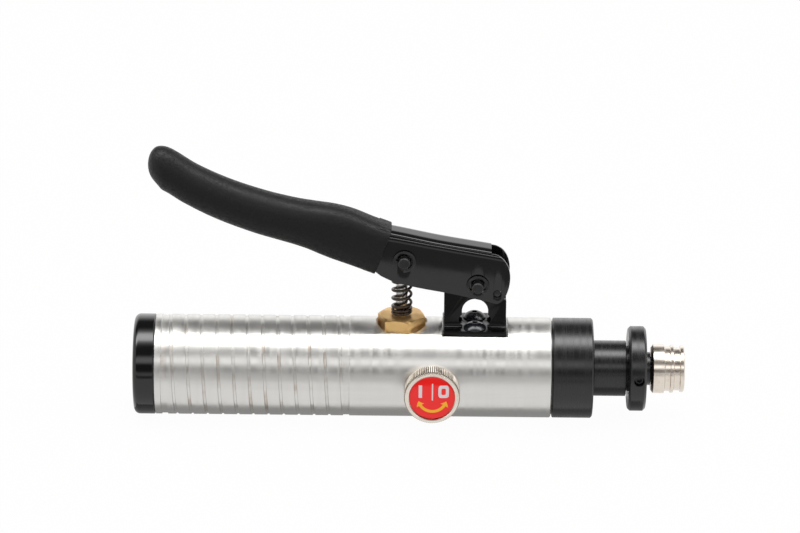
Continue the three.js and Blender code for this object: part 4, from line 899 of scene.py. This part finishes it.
def coil(name, radius, wire, rises):
    """A spring along +Z from 0: rises gives the height at each whole turn."""
    turns, steps, sides = len(rises) - 1, 36, 12
    count = turns * steps + 1
    turn = np.linspace(0, turns, count)
    height = np.interp(turn, range(turns + 1), rises)
    blend = steps // 4
    window = blend * 2 + 1
    smooth = np.convolve(np.pad(height, blend, mode="edge"), np.ones(window))
    smooth = smooth[steps // 2 : steps // 2 + count] / window
    height = smooth + (height[0] - smooth[0])
    angle = 2 * math.pi * turn
    line = np.stack([radius * np.cos(angle), radius * np.sin(angle), height], 1)
    along = np.gradient(line, axis=0)
    along /= np.linalg.norm(along, axis=1)[:, None]
    outward = np.stack([np.cos(angle), np.sin(angle), np.zeros(count)], 1)
    outward -= along * np.sum(outward * along, axis=1)[:, None]
    outward /= np.linalg.norm(outward, axis=1)[:, None]
    side = np.cross(along, outward)
    round_wire = (2 * math.pi * np.arange(sides) / sides)[None, :, None]
    ring = outward[:, None] * np.cos(round_wire) + side[:, None] * np.sin(round_wire)
    points = line[:, None] + wire / 2 * ring
    return mesh_object(name, points.reshape(-1, 3), tube_faces(count, sides))


def compression_spring(name, node_name, joint, wire, turns, closed, axis, fixed_end):
    """A round-wire spring in a CAD spring's place.

    closed is how many turns lie tight at its low and high ends; fixed_end gives an anchor that is
    not used.
    """
    box = PLACE[node_name]
    along = "xyz".index(axis)
    tight = wire * 1.06
    at_low, at_high = closed
    free = (box.size[along] - wire - (at_low + at_high) * tight) / (turns - at_low - at_high)
    rises = [0.0]
    for k in range(1, turns + 1):
        is_closed = k <= at_low or k > turns - at_high
        rises.append(rises[-1] + (tight if is_closed else free))
    spring = coil(name, box.size.y / 2 - wire / 2, wire, rises)
    base, anchor = Vector(box.mid), Vector(box.mid)
    base[along] = box.low[along] + wire / 2
    anchor[along] = getattr(box, fixed_end)[along]
    lying = axis == "x"
    turn = (math.pi / 2, 4, "Y") if lying else (math.pi, 4, "Z")
    spring.data.transform(Matrix.Rotation(*turn))
    spring.data.transform(Matrix.Translation(base))
    dress(spring, "housing", "spring_steel", node_name, sharp=60)
    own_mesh(spring)


gland_nut()
plunger()
for row in (
    ("pump_spring_coil", "pump_return_spring", "plunger_slide", 1.45 * MM, 7, (2, 1), "z", "low"),
    ("ram_spring_coil", "ram_return_spring", "ram_slide", 2.4 * MM, 7, (1, 1), "x", "high"),
    ("outlet_spring_coil", "outlet_spring", "outlet_ball_lift", 0.6 * MM, 5, (1, 1), "z", "low"),
):
    compression_spring(*row)

# ---- Bracket and screws ----

PLATE_TOP = FLAT_Z + 2.6 * MM
EAR_OUTER = 5.7 * MM
EAR_THICK = 2.6 * MM
EAR_LOW = BRACKET.low.x + 0.5 * MM
EAR_HIGH = BRACKET.high.x - 0.4 * MM
EAR_LEDGE = PIVOT.z - 8.2 * MM
EAR_SHOULDER = PLATE_TOP + 20.4 * MM
EAR_FILLET = 1.9 * MM
EYE_RADIUS = 8.5 * MM
WINDOW_RADIUS = 6.5 * MM
SCREW_SPREAD = 6.9 * MM
BRACKET_X = BRACKET.mid.x


def bracket_ear():
    drop = math.degrees(math.asin((EAR_LEDGE - PIVOT.z) / EYE_RADIUS))
    outline = [(EAR_LOW, PLATE_TOP - 1.2 * MM), (EAR_HIGH, PLATE_TOP - 1.2 * MM)]
    outline += [(EAR_HIGH, EAR_LEDGE), *arc(xz(PIVOT), EYE_RADIUS, drop, 112, 40)]
    outline += [(EAR_LOW, EAR_SHOULDER)]
    outline = eased(outline, 0.5 * MM, 3, closed=True)
    return prism("bracket_ear", "y", outline, -EAR_OUTER, -EAR_OUTER + EAR_THICK)


def bracket_fillet():
    """The rounded inside corner between an ear and the plate."""
    y, sunk = -EAR_OUTER, 0.7 * MM
    outline = [(y + sunk, PLATE_TOP - sunk), (y - EAR_FILLET, PLATE_TOP - sunk)]
    outline += arc((y - EAR_FILLET, PLATE_TOP + EAR_FILLET), EAR_FILLET, -90, 0, 10)
    outline += [(y + sunk, PLATE_TOP + EAR_FILLET)]
    return prism("bracket_fillet", "x", outline, EAR_LOW, EAR_HIGH)


def bracket_cutters():
    """The keyhole window, its notches, the eye and the screw holes."""
    bend, centre = PLATE_TOP + 1.8 * MM, PLATE_TOP + 15 * MM - WINDOW_RADIUS
    radius, slot, notch = WINDOW_RADIUS, 6.2 * MM, 3 * MM
    reach = BRACKET.high.y + MM
    arch = [(BRACKET_X - radius, bend), (BRACKET_X + radius, bend)]
    arch += arc((BRACKET_X, centre), radius, 0, 180, 40)
    cutters = [
        prism("cut_arch", "y", arch, -reach, reach),
        brick("cut_slot", (BRACKET_X - slot, -reach, PLATE_TOP), (BRACKET_X + slot, reach, centre)),
        rod("y", 3.2 * MM, -reach, reach, xz(PIVOT)),
    ]
    for side in (-1, 1):
        at = (BRACKET_X + side * (radius - notch / 2), bend + notch * 0.65)
        cutters.append(rod("y", notch, -reach, reach, at))
        hole = (BRACKET_X, side * SCREW_SPREAD)
        cutters.append(rod("z", 3.3 * MM, FLAT_Z - MM, PLATE_TOP + MM, hole))
    return cutters


def pivot_bracket():
    outline = eased(rectangle(BRACKET.low, BRACKET.high), 0.9 * MM, 4, closed=True)
    plate = prism("lever_bracket", "z", outline, FLAT_Z, PLATE_TOP)
    ear, fillet = bracket_ear(), bracket_fillet()
    twins = [mirror_twin(ear, "ear_twin"), mirror_twin(fillet, "fillet_twin")]
    combine(plate, ear, fillet, *twins, operation="UNION")
    combine(plate, *bracket_cutters())
    soften(plate, 0.28 * MM, 3)
    dress(plate, "housing", "bracket_paint", "pivot_bracket", slot="black_paint")


def bracket_screw(side_name):
    """A button-head screw with a ball crown and a hexagon socket."""
    node_name = f"bracket_screw_{side_name}"
    box = PLACE[node_name]
    at, radius, top = (box.mid.x, box.mid.y), box.size.x / 2, box.high.z
    crown_height = top - (PLATE_TOP + 0.4 * MM)
    ball = (radius**2 + crown_height**2) / (2 * crown_height)
    profile = [(box.low.z, 0), (box.low.z, 3 * MM), (PLATE_TOP, 3 * MM), (PLATE_TOP, radius)]
    for t in np.linspace(math.asin(radius / ball), math.radians(14), 14):
        profile.append((top - ball * (1 - math.cos(t)), ball * math.sin(t)))
    profile.append((profile[-1][0], 0))
    screw = turned(f"bracket_button_screw_{side_name}", "z", profile, at, 96, 0.15 * MM)
    socket = hexagon(at, 2.6 * MM, 18)
    combine(screw, prism("cut_socket", "z", socket, top - 2.2 * MM, top + MM))
    dress(screw, "housing", "screw_oxide", node_name, slot="black_oxide")


pivot_bracket()
bracket_screw("front")
bracket_screw("back")

# ---- Lever: the lines of the grip and channel ----

SHEET = 1.4 * MM
CHANNEL_HALF = CHANNEL.size.y / 2
CHANNEL_INNER = CHANNEL_HALF - SHEET
GRIP_START = GRIP.low.x
GRIP_MOUTH = PIVOT.x - 48.1 * MM
GRIP_LENGTH = GRIP_MOUTH - GRIP_START
GRIP_HALF_WIDTH = GRIP.size.y / 2
GRIP_ROUNDING = 10 * MM
MOUTH_TILT = math.radians(20.5)
MOUTH_SHARE = 0.12
TIP_SHARE, TIP_BEND = 0.02, 0.16
WEB_END = PIVOT.x + 6.6 * MM
LEVER_REAR = CHANNEL.high.x
REAR_MIDDLE = 51.3 * MM
SHOULDER_AT = (GRIP_MOUTH, GRIP_MOUTH + 30 * MM, LEVER_REAR)
SHOULDER_LENGTH = (0.7 * MM, 0.05 * MM, 0.4 * MM)


def curve_through(points):
    """A smooth function through (x, value) points, straight beyond its ends."""
    xs, ys = (np.array([p[i] for p in points]) for i in (0, 1))
    slopes = np.empty(len(xs))
    slopes[1:-1] = (ys[2:] - ys[:-2]) / (xs[2:] - xs[:-2])
    slopes[0] = (ys[1] - ys[0]) / (xs[1] - xs[0])
    slopes[-1] = (ys[-1] - ys[-2]) / (xs[-1] - xs[-2])

    def value(x):
        if x <= xs[0]:
            return ys[0] + slopes[0] * (x - xs[0])
        if x >= xs[-1]:
            return ys[-1] + slopes[-1] * (x - xs[-1])
        i = int(np.searchsorted(xs, x)) - 1
        span = xs[i + 1] - xs[i]
        t = (x - xs[i]) / span
        ease = t * t * (3 - 2 * t)
        pull = t * (1 - t) * span * (slopes[i] * (1 - t) - slopes[i + 1] * t)
        return ys[i] * (1 - ease) + ys[i + 1] * ease + pull

    return value


def grip_curve(*points):
    """A curve through (share of the grip's length, millimetres) points."""
    return curve_through([(GRIP_START + share * GRIP_LENGTH, size * MM) for share, size in points])


GRIP_LINE = grip_curve(
    (0, 106.9), (0.05, 106.6), (0.1, 103.9), (0.2, 96.6), (0.33, 89.2), (0.48, 82.8),
    (0.6, 78.9), (0.735, 75.0), (0.842, 71.1), (0.928, 67.2), (1, 64.0),
)
GRIP_HALF = grip_curve(
    (0, 11.4), (0.08, 10.8), (0.14, 9.9), (0.2, 10.1), (0.33, 10.55), (0.48, 10.9),
    (0.62, 11.2), (0.7, 11.85), (0.778, 13.0), (0.842, 13.35), (0.928, 12.9), (1, 12.8),
)
WEB_TOP = curve_through(
    [(GRIP_MOUTH, 75.5 * MM), *millimetres(0, (131, 73.9), (152, 69.5), (175, 65.6))]
)
PLATE_BOTTOM = curve_through(
    millimetres(
        0,
        (119, 53.6), (121, 52.7), (124, 51.1), (128, 49.2), (139, 46.1),
        (158, 42.5), (167, 40.5), (174, 38.9), (180, 37.3),
    )
)

# ---- Lever channel ----

# Each leg is (radius or length, first tilt, last tilt, pieces), from the crown out to the side.
CROWN = (7 * MM, 0, 23, 8), (0.3 * MM, 23, 23, 1), (1.5 * MM, 23, 78, 10)
LEDGE = (0.45 * MM, 78, 34, 4), (0.6 * MM, 34, 72, 6), (6 * MM, 72, 90, 8)


def channel_back(shoulder):
    """Half of the lever's back across it, as (y, drop) from its middle out to its side.

    It falls away in a gentle crown, turns down, runs on by the shoulder's length, and steps out
    over a soft ledge to the upright side.
    """
    steps = []
    for radius, start, end, count in (*CROWN, (shoulder, 78, 78, 1), *LEDGE):
        for k in range(count):
            tilt = math.radians(start + (end - start) * (k + 0.5) / count)
            turn = abs(math.radians(end - start)) / count
            length = radius * turn if start != end else radius
            steps.append((length * math.cos(tilt), length * math.sin(tilt)))
    flat = CHANNEL_HALF - sum(step[0] for step in steps)
    line = [(flat * 0.5, 0.0), (flat, 0.0)]
    for across, down in steps:
        line.append((line[-1][0] + across, line[-1][1] + down))
    line[-1] = (CHANNEL_HALF, line[-1][1])
    return line


def channel_section(shoulder):
    """The folded sheet across the lever: (y, below the top), None at its lower edge."""
    inner, under, inside = CHANNEL_INNER, SHEET + 0.5 * MM, 1.2 * MM
    back = [(y, -drop) for y, drop in channel_back(shoulder)]
    points = [(CHANNEL_HALF, None), *reversed(back), *((-y, drop) for y, drop in back)]
    points += [(-CHANNEL_HALF, None), (-inner, None)]
    points += arc((inside - inner, -under - inside), inside, 180, 90, 5)
    points += arc((inner - inside, -under - inside), inside, 90, 0, 5)
    return [*points, (inner, None)]


def rear_waste():
    """What is cut away round the lever's rounded rear end, as seen from the side."""
    turn, clear, power = 180 * MM, LEVER_REAR + 8 * MM, 1.9
    start = WEB_TOP(WEB_END) - 1.6 * MM
    outline = [(WEB_END, start)]
    for a in np.linspace(0, math.pi / 2, 30)[1:]:
        x = WEB_END + (LEVER_REAR - WEB_END) * math.sin(a)
        outline.append((x, REAR_MIDDLE + (start - REAR_MIDDLE) * math.cos(a)))
    fall = REAR_MIDDLE - PLATE_BOTTOM(turn)
    for a in np.linspace(math.pi / 2, 0, 24)[1:]:
        x = turn + (LEVER_REAR - turn) * math.sin(a)
        share = (x - turn) / (LEVER_REAR - turn)
        outline.append((x, REAR_MIDDLE - fall * max(1 - share**power, 0) ** (1 / power)))
    outline += [(turn, 20 * MM), (clear, 20 * MM), (clear, 90 * MM), (WEB_END, 90 * MM)]
    return prism("cut_rear", "y", outline, -CHANNEL_HALF - MM, CHANNEL_HALF + MM)


def channel_edges(x, start):
    """The top and bottom of the channel at x: inside the grip it narrows to a tang."""
    if x >= GRIP_MOUTH:
        return WEB_TOP(x), PLATE_BOTTOM(x)
    middle, half = GRIP_LINE(x), GRIP_HALF(x)
    depth = (GRIP_MOUTH - x) / (GRIP_MOUTH - start)
    covered = x < GRIP_MOUTH - 4 * MM
    bottom = middle - half * (0.8 - 0.3 * depth) if covered else PLATE_BOTTOM(x)
    return middle + half * (0.74 - 0.2 * depth), bottom


def lever_channel():
    start = CHANNEL.low.x + 2 * MM
    stations = list(np.linspace(start, GRIP_MOUTH, 20))
    stations += list(np.linspace(GRIP_MOUTH, LEVER_REAR + 3 * MM, 70))[1:]
    points = []
    for x in stations:
        top, bottom = channel_edges(x, start)
        section = channel_section(float(np.interp(x, SHOULDER_AT, SHOULDER_LENGTH)))
        points += [(x, y, bottom if below is None else top + below) for y, below in section]
    channel = mesh_object("pump_lever_channel", points, tube_faces(len(stations), len(section)))
    cutters = [
        rear_waste(),
        brick(
            "cut_web",
            (WEB_END, -CHANNEL_INNER, 20 * MM),
            (LEVER_REAR + 5 * MM, CHANNEL_INNER, 95 * MM),
        ),
    ]
    reach = CHANNEL_HALF + MM
    holes = (PIVOT, 3.15 * MM), (PLUNGER_PIN, 3.15 * MM), (PLACE["stop_pin"].mid, 2.05 * MM)
    for at, radius in holes:
        cutters.append(rod("y", radius, -reach, reach, xz(at)))
    combine(channel, *cutters)
    soften(channel, 0.32 * MM, 3, 40)
    dress(channel, "lever", "black_paint", "lever_channel")


# ---- Grip ----

GRIP_SIDES = 96
GRIP_ANGLES = 2 * math.pi * np.arange(GRIP_SIDES) / GRIP_SIDES
GRIP_LIP = ((0.12, 0.55), (0.32, 0.9), (0.6, 0.9), (0.86, 0.5), (1.0, -0.3))


def squarish(power):
    """A round section pulled towards a square: the cosines and sines of its angles."""
    cosines, sines = np.cos(GRIP_ANGLES), np.sin(GRIP_ANGLES)
    return (np.sign(wave) * np.abs(wave) ** power for wave in (cosines, sines))


def grip_ring(x, spine_start):
    """The grip's section at x, leaning with its line but square to the mouth's plane there."""
    share = (x - GRIP_START) / GRIP_LENGTH
    slope = (GRIP_LINE(x + MM) - GRIP_LINE(x - MM)) / (2 * MM)
    near_mouth = min((1 - share) / MOUTH_SHARE, 1)
    near_tip = min(max((share - TIP_SHARE) / TIP_BEND, 0), 1)
    near_tip = near_tip * near_tip * (3 - 2 * near_tip)
    lean = math.atan(slope) * near_mouth * near_tip - (1 - near_mouth) * MOUTH_TILT
    from_end = min((x - spine_start) / GRIP_ROUNDING, 1)
    swell = (1 - (1 - from_end) ** 2.1) ** (1 / 2.1)
    across, up = squarish(2 / (2.02 + 1.3 * share**3))
    across = across * GRIP_HALF_WIDTH * (0.93 + 0.07 * share) * swell
    up = up * GRIP_HALF(x) * swell
    return np.stack([x - up * math.sin(lean), across, GRIP_LINE(x) + up * math.cos(lean)], 1)


def mouth_rings(mouth):
    """The grip's lip, rolled in round the channel, and the start of the hole behind it."""
    middle = mouth.mean(axis=0)
    outward = np.array([math.cos(MOUTH_TILT), 0, -math.sin(MOUTH_TILT)])
    half_top = WEB_TOP(GRIP_MOUTH) - middle[2] + 0.5 * MM
    half_low = GRIP_HALF(GRIP_MOUTH) - 1.1 * MM
    across, up = squarish(2 / 7)
    up = up * np.where(up > 0, half_top, half_low)
    hole = np.stack([up * math.sin(MOUTH_TILT), across * (CHANNEL_HALF + 0.35 * MM), up], 1)
    hole += middle
    rings = [mouth * (1 - s) + hole * s + outward * out * MM for s, out in GRIP_LIP]
    return rings + [hole - outward * depth * MM for depth in (2, 5)]


def lever_grip():
    """A moulded sleeve, its closed end rounded and its mouth rolled in round the channel."""
    start = GRIP_START + 1.6 * MM
    angles = np.linspace(0, math.pi / 2, 18)
    spine = [start + GRIP_ROUNDING * (1 - math.cos(a)) for a in angles]
    spine += list(np.linspace(spine[-1], GRIP_MOUTH, 90))[1:]
    rings = [grip_ring(x, start) for x in spine]
    rings += mouth_rings(rings[-1])
    faces = tube_faces(len(rings), GRIP_SIDES)
    grip = mesh_object("pump_lever_grip", np.concatenate(rings), faces)
    dress(grip, "lever", "black_grip", "lever_grip", sharp=60)


lever_channel()
lever_grip()

# ---- Pins and clips ----


def clipped_pin(node_name):
    """A pin with a groove near each end for its clip."""
    box, clip = PLACE[node_name], PLACE[f"{node_name}_clip_back"]
    low, high = clip.low.y - 0.15 * MM, clip.high.y + 0.15 * MM
    radius, root, end, edge = box.size.z / 2, 2.4 * MM, box.high.y, 0.5 * MM
    half = [(low, radius), (low, root), (high, root), (high, radius)]
    half += [(end - edge, radius), (end, radius - edge), (end, 0)]
    profile = [(-y, r) for y, r in reversed(half)] + half
    pin = turned(f"clipped_{node_name}", "y", profile, xz(box.mid), 96, 0.2 * MM)
    dress(pin, "lever", "black_oxide", node_name)


def e_clip(node_name, name, middle, mouth_turn):
    """An open ring with three prongs, its mouth turned from straight down."""
    box = PLACE[node_name]
    outer, grasp, pocket = 5.7 * MM, 2.6 * MM, 4.1 * MM
    arcs = (
        (outer, -58, 238, 60), (grasp, 236, 214, 4), (pocket, 208, 108, 16),
        (grasp, 102, 78, 4), (pocket, 72, -28, 16), (grasp, -34, -56, 4),
    )
    shape = []
    for radius, start, end, steps in arcs:
        shape += arc(middle, radius, start - mouth_turn, end - mouth_turn, steps)
    clip = prism(name, "y", shape, box.low.y, box.high.y)
    soften(clip, 0.14 * MM, 2)
    dress(clip, "lever", "black_oxide", node_name)


def stop_pin():
    box = PLACE["stop_pin"]
    ends = box.low.y, box.high.y
    pin = rod("y", 1.75 * MM, *ends, xz(box.mid), name="lever_stop_pin", ease=0.3 * MM)
    dress(pin, "lever", "black_oxide", "stop_pin")


for pin_node, mouth_turn in (("pivot_pin", 0), ("plunger_pin", 38)):
    clipped_pin(pin_node)
    centre = xz(PLACE[pin_node].mid)
    for end in ("front", "back"):
        e_clip(f"{pin_node}_clip_{end}", f"{pin_node}_e_clip_{end}", centre, mouth_turn)
stop_pin()

# ---- Release knob and its label ----

LABEL_RADIUS = LABEL.size.x / 2
LABEL_CROWN = 0.75 * MM
KNURL_WAVE = (0, 0.75, 1, 1, 0.75, 0)
MARK_LOW, MARK_HIGH = 0.3 * MM, 6.9 * MM
MARK_STEPS = 4
ARROW_MIDDLE = (0.2 * MM, -0.1 * MM)
ARROW_RADIUS = 6.9 * MM
ARROW_START, ARROW_END, ARROW_TIP = 212, 328, 20


def knurled_knob():
    """A turned knob whose rim is cut with straight knurls that fade at its chamfers."""
    radius, bezel, edge = KNOB_RADIUS, KNOB_BEZEL, 0.25 * MM
    back, face = KNOB.high.y, KNOB.low.y
    recess, floor = LABEL_RADIUS + 0.2 * MM, LABEL.high.y + 0.05 * MM
    profile = [
        (back, 3.2 * MM, 0), (back, radius - 0.9 * MM, 0),
        (back - 0.45 * MM, radius - 0.45 * MM, 0.2), (back - 0.9 * MM, radius, 1),
        (back - 3 * MM, radius, 1), (face + 1.35 * MM, radius, 1),
        (face + 0.95 * MM, radius - 0.4 * MM, 0.5), (face + 0.9 * MM, bezel, 0),
        (face + edge, bezel, 0), (face, bezel - edge, 0), (face, recess + 0.35 * MM, 0),
        (face + edge, recess, 0), (floor, recess, 0), (floor, 0, 0),
    ]
    segments = KNURLS * len(KNURL_WAVE)
    points = []
    for y, r, share in profile:
        for k in range(segments):
            turn = 2 * math.pi * k / segments
            reach = r - KNURL_DEPTH * share * (1 - KNURL_WAVE[k % len(KNURL_WAVE)])
            points.append((KNOB_X + reach * math.cos(turn), y, reach * math.sin(turn)))
    knob = mesh_object("release_knob_rim", points, grid_faces(len(profile), segments, closed=True))
    dress(knob, "release_stem", "knurled_nickel", "release_knob", slot="nickel", sharp=30)


def dome(x, z):
    """The label's surface: its Y at a point, x and z from its middle."""
    share = min(math.hypot(x, z) / LABEL_RADIUS, 1)
    return LABEL.low.y + LABEL_CROWN * share**2.6


def knob_label():
    profile = [(LABEL.high.y, 0), (LABEL.high.y, LABEL_RADIUS)]
    for s in np.linspace(1, 0, 16):
        profile.append((dome(LABEL_RADIUS * s, 0), LABEL_RADIUS * s))
    disc = turned("knob_label_disc", "y", profile, (KNOB_X, 0), 128, 0.35 * MM)
    dress(disc, "release_stem", "red_label", "knob_label", sharp=50)


def between(one, other, share):
    return tuple(a * (1 - share) + b * share for a, b in zip(one, other))


def mark(name, rails, look):
    """A thin printed shape laid on the label, between two rails of (x, z) points."""
    points = []
    for lift in (0.05 * MM, -0.03 * MM):
        for a, b in zip(*rails):
            for k in range(MARK_STEPS + 1):
                x, z = between(a, b, k / MARK_STEPS)
                points.append((KNOB_X + x, dome(x, z) - lift, z))
    rows, columns = len(rails[0]), MARK_STEPS + 1
    size = rows * columns
    top = grid_faces(rows, columns)
    faces = top + [tuple(i + size for i in face) for face in top]
    walls = [range(0, size, columns), range(columns - 1, size, columns)]
    if math.dist(rails[0][0], rails[0][-1]) > 1e-6:
        walls += [range(columns), range(size - columns, size)]
    for wall in walls:
        faces += [(a, b, b + size, a + size) for a, b in zip(wall, wall[1:])]
    piece = mesh_object(name, points, faces)
    dress(piece, "release_stem", look, slot="red_label", sharp=40)


def bar(x, half_width, low, high):
    heights = np.linspace(low, high, 9)
    return [(x - half_width, z) for z in heights], [(x + half_width, z) for z in heights]


def rounded_oblong(middle, half_width, half_height):
    outline = []
    for a in np.linspace(0, 2 * math.pi, 65):
        u, v = (math.copysign(abs(f(a)) ** 0.45, f(a)) for f in (math.cos, math.sin))
        outline.append((middle[0] + half_width * u, middle[1] + half_height * v))
    return outline


def arrow_head(angle, ahead):
    """The rails of an arrow's head, which start wide and meet on the arc's line."""
    spread, end = 2.1 * MM, angle + ahead * ARROW_TIP
    wide_out = arc(ARROW_MIDDLE, ARROW_RADIUS + spread, angle, end, 6)
    wide_in = arc(ARROW_MIDDLE, ARROW_RADIUS - spread, angle, end, 6)
    tip = [between(a, b, 0.5) for a, b in zip(wide_out, wide_in)]
    shares = np.linspace(0, 1, 7)
    return [list(map(between, wide, tip, shares)) for wide in (wide_out, wide_in)]


def label_marks():
    """I and O with a line between them, over a double-headed arrow."""
    low, high = MARK_LOW, MARK_HIGH
    mark("mark_open", bar(-5.75 * MM, 0.85 * MM, low, high), "label_white")
    mark("mark_divider", bar(0.2 * MM, 0.32 * MM, low - 1.3 * MM, high + 0.9 * MM), "label_white")
    middle, tall = (5.7 * MM, (low + high) / 2), (high - low) / 2
    outer = rounded_oblong(middle, 2.6 * MM, tall)
    inner = rounded_oblong(middle, 1.1 * MM, tall - 1.6 * MM)
    mark("mark_shut", (outer, inner), "label_white")
    rails = [
        arc(ARROW_MIDDLE, ARROW_RADIUS + half * MM, ARROW_START, ARROW_END, 32)
        for half in (0.75, -0.75)
    ]
    mark("mark_arrow_arc", rails, "label_orange")
    mark("mark_arrow_left", arrow_head(ARROW_START, -1), "label_orange")
    mark("mark_arrow_right", arrow_head(ARROW_END, 1), "label_orange")


def spindle_gland():
    """The bright ring on the body, with a narrower stem down into it."""
    box = PLACE["spindle_gland"]
    radius, stem = box.size.x / 2, 7 * MM
    bore = PLACE["release_spindle"].size.x / 2 + 0.2 * MM
    low, shoulder, high = box.low.y, -BODY_RADIUS - 0.3 * MM, box.high.y
    profile = [(high, bore), (high, stem), (shoulder, stem), (shoulder, radius)]
    profile += [(low, radius), (low, bore), (high, bore)]
    gland = turned("spindle_gland_ring", "y", profile, (KNOB_X, 0), 96, 0.25 * MM)
    dress(gland, "housing", "nickel", "spindle_gland")


knurled_knob()
knob_label()
label_marks()
spindle_gland()

# ---- Finishes of the CAD pieces that stay ----

SLOT_OF = {row["node"]: row["material_slot"] for row in frame["record"]["subparts"]}

for name, obj in frame["nodes"].items():
    if not obj.hide_render:
        obj.data.materials.clear()
        obj.data.materials.append(LOOKS[SLOT_OF[name]])
